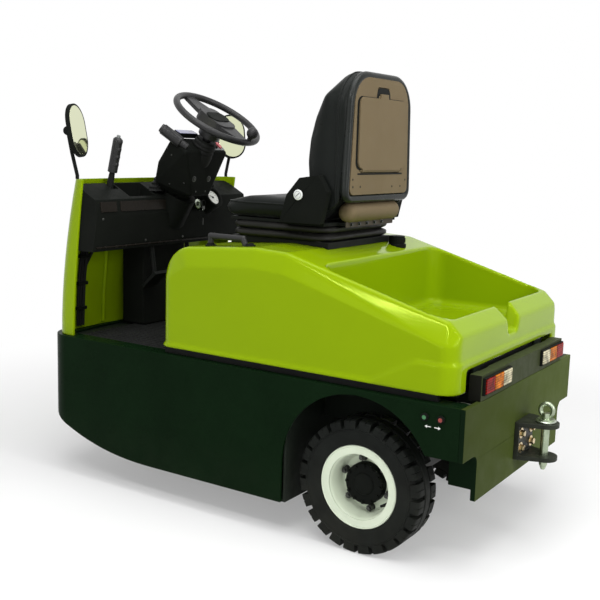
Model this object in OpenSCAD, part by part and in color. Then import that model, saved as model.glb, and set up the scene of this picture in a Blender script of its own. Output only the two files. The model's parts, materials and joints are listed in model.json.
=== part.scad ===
// Electric tow tractor with three wheels: one steered front wheel, two driven rear wheels,
// a seat on a tilting hood, a stowage tub behind the seat and a pin hitch.
// Frame: +X forward, +Y left, +Z up, millimetres, origin on the ground under the outline's middle.

/* [Chassis] */
// width over the side skirts
chassis_w = 856; // [700:1:1000]
// length from the rear plate to the front face
chassis_l = 1560; // [1400:5:1800]
// top face of the chassis above the ground
chassis_top = 478; // [440:1:520]
// lower edge of the skirts above the ground
clearance = 100; // [80:1:140]
// wall of the skirts
skirt_t = 10; // [6:1:16]
// width of the flat flange along the top of the skirts
flange_w = 60; // [40:1:80]
// thickness of that flange
flange_t = 8; // [6:1:12]
// radius of the front corners seen from above
front_r = 95; // [70:1:140]
// bow of the front face
front_bow = 22; // [0:1:40]
// height that the lower edge gains at the front
rise_h = 132; // [60:1:180]
// length over which the lower edge rises
rise_l = 505; // [300:5:600]
// sharpness of that rise
rise_power = 2.3; // [1.5:0.1:3]
// radius of the rear wheel arches
arch_r = 240; // [220:1:260]
// height of the arch centres
arch_z = 222; // [200:1:240]
// lower edge of the skirts behind the rear wheels
tail_z = 336; // [300:1:380]
// thickness of the rear plate
plate_t = 14; // [10:1:20]
// width of the lower half of the rear plate
plate_low_w = 664; // [560:2:760]
// lower edge of the rear plate
plate_low_z = 205; // [170:1:260]
// fillet in the step of the rear plate
plate_fillet_r = 26; // [10:1:40]
// depth of the plate's side webs
web_l = 65; // [40:1:100]
// lower edge of the plate's side webs
web_z = 236; // [210:1:280]
// thickness of bulkheads, tray and deck
sheet_t = 8; // [5:1:12]

/* [Wheels] */
// diameter of the tyres
tyre_d = 385; // [350:1:420]
// width of the tyres
tyre_w = 114; // [100:1:130]
// rounding of the tread shoulder
tyre_shoulder_r = 13; // [6:1:24]
// lugs round each shoulder of a tyre
lug_count = 24; // [12:1:36]
// height of the shoulder lugs
lug_h = 12; // [4:1:20]
// length of the shoulder lugs across the tread
lug_l = 30; // [10:1:50]
// width of the notch between two lugs
lug_gap = 13; // [4:1:20]
// rear tyre face behind the skirt's face
tyre_inset = 23; // [15:1:40]
// rear plate to rear axle
rear_overhang = 320; // [290:1:350]
// rear axle to front axle
wheelbase = 965; // [900:1:1000]
// diameter of the rim's flange
rim_d = 240; // [220:1:260]
// diameter of the tyre seat on the rim
seat_d = 204; // [190:1:215]
// width over the rim's flanges
rim_w = 98; // [80:1:110]
// wall of the rim
rim_t = 7; // [4:1:10]
// outer flange to the wheel disc
disc_depth = 60; // [40:1:75]
// thickness of the wheel disc
disc_t = 8; // [5:1:12]
// diameter of the hub's drum
hub_d = 118; // [90:1:130]
// outer flange to the hub's face
hub_depth = 34; // [20:1:50]
// diameter of the rear spindles
spindle_d = 44; // [30:1:55]
// diameter of the front axle pin
front_pin_d = 28; // [20:1:40]
// diameter of the rear axle tube
axle_tube_d = 84; // [70:1:120]
// diameter of the gear case
gear_case_d = 110; // [90:1:190]
// width of the gear case
gear_case_w = 150; // [120:1:220]
// length of the drive motor ahead of the axle
motor_l = 205; // [160:1:215]
// diameter of the rear brake drums
drum_d = 168; // [140:1:180]

/* [Front fork] */
// gap between fork leg and front tyre
fork_gap = 21; // [12:1:30]
// thickness of the fork's legs
leg_t = 14; // [10:1:20]
// width of the fork's legs
leg_w = 76; // [60:1:90]
// height of the gap over the front tyre
fork_head_gap = 12; // [8:1:20]
// thickness of the fork's bridge
bridge_t = 18; // [12:1:25]
// diameter of the fork's turning plate
turn_plate_d = 160; // [120:1:180]
// thickness of the turning plate
turn_plate_t = 20; // [12:1:24]
// diameter of the steering kingpin
kingpin_d = 56; // [40:1:70]
// gap between the turning plate and the steering head
head_gap = 3; // [1:0.5:5]
// length of the steering head along the chassis
head_l = 190; // [170:1:240]

/* [Hood] */
// half width of the hood
hood_hw = 412; // [380:1:428]
// front face of the hood
hood_front = 310; // [280:1:330]
// rear face of the hood
hood_rear = -680; // [-700:1:-660]
// lower edge of the hood
hood_z0 = 498; // [490:1:520]
// highest line of the hood, under the seat
hood_top = 833; // [800:1:860]
// where that line lies
crown_x = -27; // [-80:1:40]
// top of the hood behind its front roll
hood_front_top = 816; // [790:1:840]
// top of the rear rim
hood_rear_top = 690; // [660:1:720]
// where the steady fall to the rear starts
bend_x = -140; // [-180:1:-80]
// top of the hood at that place
bend_top = 827; // [800:1:840]
// wall of the hood
hood_t = 7; // [5:0.5:9]
// radius of the front roll into the top
roll_r = 98; // [60:1:110]
// radius of all soft edges
edge_r = 14; // [10:1:20]
// radius of the upright front corners
hood_front_r = 36; // [20:1:60]
// radius of the upright rear corners
hood_rear_r = 46; // [30:1:60]
// height of the leaning shoulder strip
shoulder_h = 62; // [40:1:80]
// lean of that strip
shoulder_lean = 17; // [8:1:30]
// drop of the rear rim to its outer edge
rim_drop = 30; // [15:1:45]
// how far the lower lip stands out
lip_out = 7; // [4:1:10]
// how far the raised lower zone at the rear stands out
tail_out = 6; // [3:1:10]
// height of the lower lip
lip_h = 10; // [6:1:16]
// where the lip starts to rise
lip_rise_x = -440; // [-500:5:-380]
// where the lip is level again
lip_level_x = -568; // [-620:5:-520]
// height of the lip round the rear
lip_level_z = 580; // [550:1:610]

/* [Tub] */
// half width of the tub
tub_hw = 370; // [330:1:385]
// front wall of the tub
tub_front = -240; // [-280:1:-200]
// rear wall of the tub
tub_rear = -636; // [-650:1:-600]
// floor of the tub
tub_floor = 604; // [590:1:640]
// radius of the tub's upright corners
tub_r = 52; // [30:1:80]
// fillet round the tub's floor
tub_fillet_r = 20; // [10:1:22]
// half width of the notch at the top of the rear rim
notch_hw = 58; // [40:1:80]
// half width of the notch at its foot
notch_low_hw = 36; // [30:1:60]
// lower edge of the notch
notch_z = 610; // [605:1:640]
// corner radius of the notch
notch_r = 16; // [8:1:30]

/* [Lamp bar] */
// half width of the lamp bar
bar_hw = 328; // [280:1:340]
// rear face of the lamp bar
bar_rear = -723; // [-725:1:-715]
// front face of the lamp bar
bar_front = -688; // [-695:1:-684]
// top of the lamp bar
bar_top = 548; // [535:1:555]
// gap over the lamp bar
bar_gap = 9; // [6:1:14]
// hinge axis ahead of the rear plate's face
hinge_dx = 33; // [28:1:36]
// hinge axis above the chassis
hinge_dz = 52; // [46:1:56]
// diameter of the hinge pins
hinge_pin_d = 10; // [8:1:12]
// outer diameter of the hinge eyes
hinge_eye_d = 20; // [16:1:22]
// half distance between the hinges
hinge_y = 240; // [150:1:280]
// width of the hinge pockets
hinge_pocket_w = 64; // [50:1:80]
// width of the hinge arms
hinge_arm_w = 50; // [40:1:60]
// inner end of each tail lamp
lamp_y = 128; // [100:1:140]
// length of each tail lamp
lamp_l = 192; // [160:1:200]
// height of each tail lamp
lamp_h = 48; // [40:1:55]
// depth of each tail lamp behind the bar
lamp_out = 11; // [6:1:16]
// frame round the lenses
lamp_frame = 4; // [2:1:6]

/* [Hitch] */
// how far the hitch stands behind the rear plate
hitch_reach = 110; // [90:1:140]
// half width of the jaws and radius of their ends
jaw_hw = 39; // [34:1:55]
// top face of the upper jaw
jaw_top = 362; // [340:1:380]
// lower face of the lower jaw
jaw_low = 251; // [230:1:270]
// thickness of the jaws
jaw_t = 13; // [10:1:18]
// thickness of the hitch's back plate
hitch_plate_t = 14; // [10:1:18]
// half width of the hitch's back plate
hitch_plate_hw = 60; // [40:1:90]
// diameter of the tow pin
pin_d = 24; // [18:1:30]
// tip of the tow pin
pin_tip_z = 220; // [200:1:240]
// length of the pin's tapered tip
pin_taper = 16; // [8:1:24]
// diameter of the pin's collar
collar_d = 48; // [36:1:60]
// thickness of the pin's collar
collar_t = 10; // [6:1:14]
// outer diameter of the pin's ring
ring_d = 50; // [40:1:60]
// thickness of the ring
ring_t = 13; // [8:1:16]

/* [Cowl] */
// half width of the cowl
cowl_hw = 412; // [380:1:428]
// top of the cowl
cowl_top = 1000; // [940:1:1060]
// front face at the chassis
cowl_front = 794; // [770:1:815]
// how far the front leans back at the top
cowl_lean = 73; // [40:1:100]
// curve of that lean
cowl_power = 1.85; // [1:0.05:3]
// rear edge of the side returns at the chassis
cowl_rear = 697; // [660:1:720]
// how far that edge leans back at the top
cowl_rear_lean = 48; // [20:1:70]
// curve of that lean
cowl_rear_power = 1.4; // [1:0.1:3]
// radius of the cowl's corners
cowl_r = 56; // [40:1:70]
// bow of the cowl's front
cowl_bow = 10; // [0:1:14]
// wall of the cowl
cowl_t = 8; // [5:1:10]

/* [Dash] */
// gap between dash and cowl
dash_gap = 0.5; // [0.4:0.1:2]
// lower edge of the dash
dash_low = 765; // [730:1:790]
// lower rear edge of the dash
dash_low_x = 612; // [590:1:640]
// ledge of the dash
dash_ledge_x = 592; // [570:1:610]
// height of the ledge
dash_ledge_z = 880; // [860:1:900]
// upper rear edge of the dash
dash_edge_x = 600; // [580:1:620]
// height of the upper rear edge
dash_edge_z = 936; // [920:1:950]
// top of the dash at the cowl
dash_back_z = 984; // [970:1:995]
// where the dash's top meets the cowl
dash_back_x = 690; // [670:1:700]
// tray from here to the left
tray_y0 = 96; // [80:1:120]
// tray to here
tray_y1 = 226; // [180:1:230]
// tray floor
tray_z = 896; // [880:1:920]
// wall round the tray
tray_wall = 14; // [8:1:20]
// centre of the gauge
gauge_y = -173; // [-220:1:-150]
// outer diameter of the gauge pod
pod_d = 84; // [70:1:100]
// diameter of the dial
dial_d = 62; // [40:1:70]
// length of the gauge pod
pod_l = 62; // [40:1:80]
// pod's axis above level
pod_tilt = 32; // [0:1:60]
// depth of the dial in the pod
dial_depth = 12; // [6:1:20]
// thickness of the dial
dial_t = 4; // [2:1:6]
// centre of the key switch
key_y = -98; // [-125:1:-80]
// diameter of the round socket at the column's foot
socket_d = 118; // [100:1:140]
// length of that socket
socket_l = 110; // [80:1:140]
// diameter of the key switch
key_d = 26; // [20:1:32]

/* [Steering] */
// centre of the steering wheel along the truck
wheel_x = 422; // [380:1:460]
// height of the steering wheel's centre
wheel_z = 1212; // [1150:1:1260]
// lean of the steering wheel
wheel_tilt = 31.3; // [10:0.1:50]
// diameter of the steering wheel
steer_d = 324; // [280:1:380]
// thickness of the rim
steer_rim_t = 23; // [18:1:30]
// width of the spokes
spoke_w = 76; // [40:1:90]
// thickness of the spokes
spoke_t = 14; // [8:1:20]
// length of the centre pad
steer_pad_l = 128; // [100:1:160]
// width of the centre pad
steer_pad_w = 92; // [70:1:110]
// corner radius of the centre pad
steer_pad_r = 30; // [15:1:40]
// diameter of the hub at its foot
steer_hub_d = 76; // [60:1:90]
// foot of the hub below the wheel
steer_hub_l = 72; // [60:1:80]
// thickness of the centre pad
steer_pad_t = 30; // [20:1:40]
// angle of the spinner knob on the rim
knob_angle = 182; // [180:1:360]
// diameter of the spinner knob
knob_d = 40; // [30:1:50]
// height of the spinner knob
knob_h = 36; // [25:1:50]
// diameter of the steering shaft
shaft_d = 30; // [24:1:40]
// length of the steering shaft
shaft_l = 220; // [180:1:260]
// diameter of the column tube
tube_d = 70; // [56:1:80]
// column tube from the wheel
tube_s0 = 84; // [60:1:100]
// lower end of the column tube from the wheel
tube_s1 = 420; // [380:1:460]
// half width of the column cover at its top
cover_hw = 114; // [80:1:130]
// half width of the column cover at its foot
cover_low_hw = 56; // [40:1:80]
// rear top edge of the column cover
cover_rear = 463; // [440:1:490]
// front top edge of the column cover
cover_front = 540; // [520:1:560]
// foremost point of the column cover
cover_nose = 618; // [590:1:630]
// height of the cover's foremost point
cover_nose_z = 1008; // [990:1:1040]
// top of the column cover at its front
cover_top = 1142; // [1110:1:1160]
// rise of the column cover's top from the rear to the front
cover_rise = 36; // [0:1:60]
// foot of the column cover
cover_low = 944; // [938:1:970]
// rear of the cover's foot
cover_low_rear = 490; // [480:1:540]
// front of the cover's foot
cover_low_front = 596; // [580:1:620]
// soft edge of the cover
cover_r = 12; // [6:1:20]
// foot of the direction lever along the truck
lever_x = 474; // [460:1:500]
// length of the direction lever
lever_l = 104; // [60:1:120]
// diameter of the direction lever
lever_d = 38; // [30:1:44]
// footwell post's half width
post_hw = 112; // [40:1:130]
// footwell post's rear face
post_x = 656; // [620:1:680]
// depth of the footwell post
post_l = 100; // [50:1:105]
// hand brake to the left of the middle
brake_y = 250; // [235:1:270]
// lower end of the hand brake
brake_x = 693; // [680:1:700]
// upper end of the hand brake
brake_top_x = 644; // [620:1:670]
// top of the hand brake
brake_top_z = 1137; // [1100:1:1170]
// foot of the hand brake's lever
brake_z = 938; // [920:1:960]
// width of the brake lever
brake_w = 16; // [10:1:20]
// diameter of the brake grip
brake_grip_d = 33; // [26:1:40]
// length of the brake grip
brake_grip_l = 118; // [90:1:140]
// width of the slot for the brake lever
brake_slot_w = 30; // [24:1:40]

/* [Pedals] */
// brake pedal to the left of the middle
pedal_y = 96; // [80:1:150]
// pedal pad's width
pedal_w = 64; // [50:1:90]
// pedal pad's length
pedal_l = 80; // [60:1:120]
// pedal pad's thickness
pedal_t = 12; // [8:1:18]
// height of the pedal pads
pedal_z = 648; // [560:1:680]
// pedal pads along the truck
pedal_x = 616; // [600:1:680]
// lean of the pedal pads
pedal_lean = 48; // [20:1:70]
// diameter of the pedal arms
pedal_arm_d = 16; // [10:1:20]

/* [Mirrors] */
// centre of the mirror along the truck
mirror_x = 680; // [640:1:690]
// centre of the mirror to the side
mirror_y = 412; // [390:1:430]
// height of the mirror's centre
mirror_z = 1155; // [1120:1:1180]
// height of the mirror
mirror_h = 172; // [150:1:200]
// width of the mirror
mirror_w = 126; // [100:1:172]
// thickness of the mirror
mirror_t = 14; // [10:1:20]
// turn of the mirror to the seat
mirror_toe = 23; // [0:1:35]
// lean of the mirror's top to the front
mirror_lean = 10; // [0:1:15]
// rim round the glass
mirror_rim = 6; // [4:1:10]
// diameter of the mirror stem
stem_d = 12; // [8:1:16]
// stem to the side
stem_y = 397; // [380:1:408]
// stem along the truck
stem_x = 686; // [670:1:700]
// diameter of the ball behind the mirror
ball_d = 30; // [20:1:40]

/* [Seat] */
// half width of the cushion
cushion_hw = 224; // [190:1:250]
// front of the cushion
cushion_front = 232; // [180:1:245]
// rear of the cushion
cushion_rear = -70; // [-90:1:-40]
// top of the cushion
cushion_top = 974; // [940:1:1000]
// soft edge of the cushion
cushion_r = 34; // [20:1:45]
// half width of the backrest
back_hw = 212; // [190:1:230]
// front of the backrest at its foot
back_front = -84; // [-100:1:-75]
// foremost point of the backrest
back_belly = -74; // [-84:1:-68]
// top of the backrest
back_top = 1354; // [1300:1:1400]
// front of the backrest near its top
back_top_front = -152; // [-165:1:-110]
// rear of the upholstery
back_rear = -213; // [-220:1:-205]
// soft edge of the backrest
back_r = 26; // [16:1:40]
// rounding of the backrest's top corners
back_corner_r = 122; // [60:1:140]
// top of the seat pan
pan_top = 903; // [890:1:915]
// thickness of the seat pan
pan_t = 10; // [6:1:14]
// rear of the seat pan
pan_rear = -190; // [-215:1:-180]
// half width of the seat pan
pan_hw = 200; // [180:1:215]
// rear of the seat base
base_rear = -160; // [-170:1:-140]
// front of the seat base
base_front = 204; // [150:1:210]
// thickness of the seat base
base_t = 10; // [8:1:16]
// half width of the seat base
base_hw = 196; // [170:1:205]
// rear face of the taupe back panel
panel_rear = -221; // [-230:1:-210]
// half width of the back panel at its foot
panel_hw = 184; // [170:1:200]
// half width of the back panel at its top
panel_top_hw = 170; // [150:1:190]
// lower edge of the back panel
panel_low = 988; // [970:1:1010]
// top of the back panel
panel_top = 1338; // [1300:1:1350]
// rounding of the panel's top corners
panel_r = 84; // [50:1:110]
// rounding of the panel's lower corners
panel_low_r = 20; // [10:1:40]
// diameter of the roll under the panel
roll_d = 60; // [50:1:64]
// half length of the roll under the panel
roll_hw = 158; // [120:1:170]
// round lower ends of the backrest along the truck
hip_x = -152; // [-165:1:-145]
// round lower ends of the backrest above the pan
hip_dz = 82; // [70:1:90]
// half thickness of the round lower ends
hip_t = 9; // [6:1:12]
// diameter of the round lower ends
hip_d = 98; // [90:1:116]
// half width of the document lid
lid_hw = 148; // [120:1:160]
// lower edge of the document lid
lid_low = 1066; // [1050:1:1080]
// top of the document lid
lid_top = 1276; // [1240:1:1300]
// thickness of the document lid
lid_t = 6; // [4:1:8]
// corner radius of the document lid
lid_r = 22; // [10:1:30]
// depth of the document pocket
pocket_d = 22; // [16:1:26]
// rim round the pocket's mouth
pocket_rim = 14; // [8:1:20]
// wall of the pocket's pan
pocket_wall = 3; // [2:0.5:5]
// diameter of the lid's hinge barrel
barrel_d = 11; // [8:1:14]
// diameter of the lid's hinge pin
lid_pin_d = 5; // [3:0.5:7]
// half length of the lid's hinge barrel
barrel_hw = 122; // [100:1:132]
// thickness of the recliner covers
recliner_t = 24; // [16:1:30]
// radius of the recliner covers
recliner_r = 60; // [45:1:70]
// recliner pivot along the truck
recliner_x = -86; // [-100:1:-70]
// height of the recliner pivot
recliner_z = 985; // [970:1:1000]
// diameter of the pivot caps
recliner_cap_d = 24; // [16:1:30]
// grab handle's left of the middle
handle_y = 346; // [330:1:360]
// rear end of the grab handle
handle_x0 = 20; // [10:1:60]
// front end of the grab handle
handle_x1 = 168; // [150:1:190]
// diameter of the grab handle
handle_d = 18; // [14:1:24]
// top of the grab handle
handle_top = 859; // [850:1:880]
// deck cap behind the seat
cap_x = -192; // [-210:1:-175]
// deck cap to the left
cap_y = -188; // [-220:1:-150]
// diameter of the deck cap
cap_d = 52; // [40:1:70]
// height of the deck cap
cap_h = 31; // [15:1:35]

/* [Fits] */
// running gap round pins and shafts
run_gap = 0.3; // [0.2:0.05:0.5]
// overrun of every cut
over = 20; // [10:1:30]

/* [Hidden] */
$fn = 64;
soft_fn = 24;
half_w = chassis_w / 2;
x_rear = (hitch_reach - chassis_l) / 2;
x_front = (hitch_reach + chassis_l) / 2;
rear_axle_x = x_rear + rear_overhang;
front_axle_x = rear_axle_x + wheelbase;
axle_z = tyre_d / 2;
rear_wheel_y = half_w - tyre_inset - tyre_w / 2;
deck_z = chassis_top - flange_t;
bulk_rear_x = -176;
wheel_room = 55;
bulk_front_x = min(hood_front, front_axle_x - axle_z - wheel_room) - sheet_t;
slope = (bend_top - hood_rear_top) / (bend_x - tub_rear);
slope_angle = atan(slope);
hinge_x = x_rear + hinge_dx;
hinge_z = chassis_top + hinge_dz;
pin_x = x_rear - hitch_reach + jaw_hw;
bridge_z = tyre_d + fork_head_gap;
turn_z = bridge_z + bridge_t;
head_z = turn_z + turn_plate_t + head_gap;
cover_gap = 2;
mat_t = 4;
rib_h = 3;
mat_top = deck_z + mat_t + rib_h;
rail_z = 318;

// points of an arc round c from angle a to angle b
function arc(c, r, a, b, n = 10) =
    [for (i = [0 : n]) c + r * [cos(a + (b - a) * i / n), sin(a + (b - a) * i / n)]];

// body outline from above: square rear, rounded and bowed front
function plan(hw, x0, x1, r, bow) = concat(
    [[x0, -hw]],
    arc([x1 - bow - r, r - hw], r, -90, 0),
    [for (i = [1 : 11]) let (s = i / 6 - 1) [x1 - bow * s * s, s * (hw - r)]],
    arc([x1 - bow - r, hw - r], r, 0, 90),
    [[x0, hw]]
);

// height share of the cowl at z
function cowl_u(z) = max(0, (z - chassis_top) / (cowl_top - chassis_top));
// front face of the cowl at z
function cowl_x(z) = cowl_front - cowl_lean * pow(cowl_u(z), cowl_power);
// rear edge of the cowl's returns at z
function cowl_edge(z) = cowl_rear - cowl_rear_lean * pow(cowl_u(z), cowl_rear_power);
// height of the hood's falling top at x
function deck_top(x) = bend_top - edge_r + edge_r / cos(slope_angle) - (bend_x - x) * slope;
// rounded U of the cowl at height z, t inside its outer face
function cowl_u_line(z, t) = concat(
    arc([cowl_x(z) - cowl_bow - cowl_r, cowl_r - cowl_hw], cowl_r - t, -90, 0),
    [for (i = [1 : 11]) let (s = i / 6 - 1) [cowl_x(z) - t - cowl_bow * s * s, s * (cowl_hw - cowl_r)]],
    arc([cowl_x(z) - cowl_bow - cowl_r, cowl_hw - cowl_r], cowl_r - t, 0, 90)
);

// the shape and its mirror image on the other side
module pair() {
    children();
    mirror([0, 1, 0]) children();
}

// an outline in X and Z, swept over the width w
module across(w) {
    rotate([90, 0, 0]) linear_extrude(height = w, center = true) children();
}

// an outline in Y and Z, swept forward from x0 over the length l
module along(x0, l) {
    translate([x0, 0, 0]) rotate([90, 0, 90]) linear_extrude(height = l) children();
}

// a box between two corners
module box(a, b) {
    translate(a) cube(b - a);
}

// a rod along Y from y0 to y1
module rod_y(x, z, d, y0, y1) {
    translate([x, y0, z]) rotate([-90, 0, 0]) cylinder(d = d, h = y1 - y0);
}

// a rod between two points
module rod(a, b, d) {
    v = b - a;
    translate(a) rotate([0, acos(v[2] / norm(v)), atan2(v[1], v[0])]) cylinder(d = d, h = norm(v));
}

// a stack of equal point loops at the given heights, closed at both ends
module skin(loops, heights) {
    n = len(loops[0]);
    m = len(heights);
    points = [for (k = [0 : m - 1]) for (p = loops[k]) [p[0], p[1], heights[k]]];
    low = [for (k = [0 : m - 2]) for (i = [0 : n - 1]) [k * n + i, (k + 1) * n + i, k * n + (i + 1) % n]];
    high = [for (k = [0 : m - 2]) for (i = [0 : n - 1])
        [k * n + (i + 1) % n, (k + 1) * n + i, (k + 1) * n + (i + 1) % n]];
    ends = [[for (i = [0 : n - 1]) i], [for (i = [n - 1 : -1 : 0]) (m - 1) * n + i]];
    polyhedron(points = points, faces = concat(low, high, ends));
}

// a rectangle with round corners, from its lower left corner
module round_rect(a, b, r) {
    translate([a[0] + r, a[1]]) square([b[0] - a[0] - 2 * r, b[1] - a[1]]);
    translate([a[0], a[1] + r]) square([b[0] - a[0], b[1] - a[1] - 2 * r]);
    for (x = [a[0] + r, b[0] - r]) for (y = [a[1] + r, b[1] - r]) translate([x, y]) circle(r = r);
}

// things placed in the steering wheel's frame: its plane is XY, its axis is Z
module on_wheel() {
    translate([wheel_x, 0, wheel_z]) rotate([0, -wheel_tilt, 0]) children();
}

// side skirts and front in one welded shell with a flange round its top
module chassis_skirt() {
    x0 = x_rear + plate_t;
    rise_x = x_front - rise_l;
    color([0.1, 0.13, 0.12]) difference() {
        translate([0, 0, clearance]) linear_extrude(height = chassis_top - clearance)
            polygon(plan(half_w, x0, x_front, front_r, front_bow));
        translate([0, 0, clearance - over]) linear_extrude(height = deck_z - clearance + over)
            polygon(plan(half_w - skirt_t, x0 - over, x_front - skirt_t, front_r - skirt_t, front_bow));
        translate([0, 0, clearance]) linear_extrude(height = chassis_top)
            polygon(plan(half_w - flange_w, x0 - over, x_front - flange_w, front_r - flange_w, front_bow));
        across(chassis_w + over) polygon(concat(
            [[rise_x, clearance - over]],
            [for (i = [0 : 14]) let (u = i / 14)
                [rise_x + u * rise_l, clearance + rise_h * pow(u, rise_power)]],
            [[x_front + over, clearance + rise_h], [x_front + over, clearance - over]]
        ));
        rod_y(rear_axle_x, arch_z, 2 * arch_r, -half_w - over, half_w + over);
        box([rear_axle_x, -half_w - over, clearance - over], [rear_axle_x + arch_r, half_w + over, arch_z]);
        box([x0 - over, -half_w - over, clearance - over], [rear_axle_x, half_w + over, tail_z]);
    }
}

// battery tray, bulkheads, rails to the axle and the cross beam over the front wheel
module chassis_frame() {
    inner = half_w - skirt_t;
    rail_y = 196;
    rail_w = 14;
    rail_h = 84;
    color([0.13, 0.14, 0.14]) difference() {
        union() {
            box([bulk_rear_x, -inner, clearance], [bulk_front_x + sheet_t, inner, clearance + sheet_t]);
            box([bulk_rear_x, -inner, clearance], [bulk_rear_x + sheet_t, inner, deck_z - sheet_t]);
            box([bulk_front_x, -inner, clearance], [bulk_front_x + sheet_t, inner, deck_z - sheet_t]);
            pair() box([x_rear + plate_t, rail_y, rail_z],
                [bulk_rear_x + sheet_t, rail_y + rail_w, rail_z + rail_h]);
            box([front_axle_x - head_l / 2, -inner, head_z],
                [front_axle_x + head_l / 2, inner, deck_z - sheet_t]);
        }
        translate([front_axle_x, 0, head_z - over]) cylinder(d = kingpin_d + 2 * run_gap, h = chassis_top);
    }
}

// floor of the footwell
module floor_deck() {
    color([0.12, 0.13, 0.13]) translate([0, 0, deck_z - sheet_t]) linear_extrude(height = sheet_t)
        polygon(plan(half_w - skirt_t, bulk_front_x, x_front - skirt_t, front_r - skirt_t, front_bow));
}

// ribbed rubber mat on the floor
module floor_mat() {
    rib_w = 7;
    rib_gap = 21;
    mat_x0 = hood_front + 2 * cover_gap;
    mat_x1 = x_front - flange_w - front_bow - front_r / 2;
    mat_hw = half_w - flange_w - cover_gap;
    color([0.08, 0.08, 0.08]) {
        box([mat_x0, -mat_hw, deck_z], [mat_x1, mat_hw, deck_z + mat_t]);
        for (y = [rib_gap / 2 - mat_hw : rib_gap : mat_hw - rib_w])
            box([mat_x0, y, deck_z + mat_t - rib_h], [mat_x1, y + rib_w, mat_top]);
    }
}

// thick plate across the rear with two webs running forward
module rear_plate() {
    low_hw = plate_low_w / 2;
    color([0.14, 0.17, 0.1]) {
        along(x_rear, plate_t) {
            translate([-half_w, tail_z]) square([chassis_w, chassis_top - tail_z]);
            translate([-low_hw, plate_low_z]) square([plate_low_w, chassis_top - plate_low_z]);
            for (s = [0, 1]) mirror([s, 0]) difference() {
                translate([low_hw, tail_z - plate_fillet_r]) square(plate_fillet_r);
                translate([low_hw + plate_fillet_r, tail_z - plate_fillet_r]) circle(r = plate_fillet_r);
            }
        }
        pair() box([x_rear + plate_t, low_hw - plate_t, web_z], [x_rear + plate_t + web_l, low_hw, tail_z]);
    }
}

// drive axle with its gear case, motor, brake drums and spindles
module rear_axle() {
    pad_w = 60;
    pad_y = 186;
    pad_l = 34;
    drum_y1 = rear_wheel_y - rim_w / 2 + cover_gap;
    drum_w = 34;
    color([0.16, 0.16, 0.17]) {
        rod_y(rear_axle_x, axle_z, axle_tube_d, -drum_y1 + drum_w, drum_y1 - drum_w);
        rod_y(rear_axle_x, axle_z, gear_case_d, -gear_case_w / 2, gear_case_w / 2);
        translate([rear_axle_x, 0, axle_z]) rotate([0, 90, 0])
            cylinder(d = gear_case_w - over, h = motor_l);
        pair() rod_y(rear_axle_x, axle_z, drum_d, drum_y1 - drum_w, drum_y1);
        pair() rod_y(rear_axle_x, axle_z, spindle_d,
            drum_y1 - drum_w, rear_wheel_y + rim_w / 2 - disc_depth);
        pair() box([rear_axle_x - pad_w / 2, pad_y, axle_z],
            [rear_axle_x + pad_w / 2, pad_y + pad_l, rail_z]);
    }
}

// battery as one plain block on its tray
module battery() {
    battery_gap = 16;
    battery_hw = min(half_w - skirt_t, hood_hw) - 6 * battery_gap;
    battery_top = 640;
    color([0.2, 0.2, 0.22]) box(
        [bulk_rear_x + sheet_t + battery_gap, -battery_hw, clearance + sheet_t],
        [bulk_front_x - battery_gap, battery_hw, battery_top]
    );
}

// dark seal that the hood's lower edge rests on
module hood_seal() {
    seal_w = 14;
    seal_in = 10;
    seal_rear = hood_rear + hood_rear_r;
    seal_top = hood_z0 - run_gap;
    color([0.05, 0.05, 0.05]) pair()
        box([seal_rear, hood_hw - seal_in - seal_w, chassis_top],
            [hood_front - seal_in, hood_hw - seal_in, seal_top]);
}

// black bar that carries the tail lamps and the hood's hinge pins
module lamp_bar() {
    pocket_x = hinge_x - hinge_eye_d / 2 - cover_gap;
    color([0.06, 0.06, 0.06]) {
        difference() {
            box([bar_rear, -bar_hw, chassis_top], [bar_front, bar_hw, bar_top]);
            pair() box([pocket_x, hinge_y - hinge_pocket_w / 2, hinge_z - hinge_eye_d],
                [bar_front + over, hinge_y + hinge_pocket_w / 2, hinge_z + hinge_eye_d / 2 + cover_gap]);
            pair() box([hinge_x, hinge_y - hinge_pocket_w / 2, hinge_z],
                [bar_front + over, hinge_y + hinge_pocket_w / 2, bar_top + over]);
        }
        pair() rod_y(hinge_x, hinge_z, hinge_pin_d,
            hinge_y - hinge_pocket_w / 2, hinge_y + hinge_pocket_w / 2);
    }
}

// one lens of the tail lamps on each side, number i of three from the middle
module tail_lens(i) {
    lens_l = (lamp_l - 4 * lamp_frame) / 3;
    y0 = lamp_y + lamp_frame + i * (lens_l + lamp_frame);
    z0 = (chassis_top + bar_top) / 2 + lamp_frame - lamp_h / 2;
    pair() box([bar_rear - lamp_out, y0, z0 + lamp_frame],
        [bar_rear - lamp_frame, y0 + lens_l, z0 + lamp_h - lamp_frame]);
}

// black housings of the tail lamps
module tail_lamps() {
    z0 = (chassis_top + bar_top) / 2 + lamp_frame - lamp_h / 2;
    color([0.05, 0.05, 0.05]) difference() {
        pair() box([bar_rear - 2 * lamp_frame, lamp_y, z0], [bar_rear, lamp_y + lamp_l, z0 + lamp_h]);
        for (i = [0 : 2]) tail_lens(i);
    }
}

module tail_lens_red() {
    color([0.7, 0.02, 0.02]) tail_lens(2);
}

module tail_lens_amber() {
    color([0.9, 0.4, 0.02]) tail_lens(1);
}

module tail_lens_clear() {
    color([0.85, 0.85, 0.85]) tail_lens(0);
}

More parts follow.
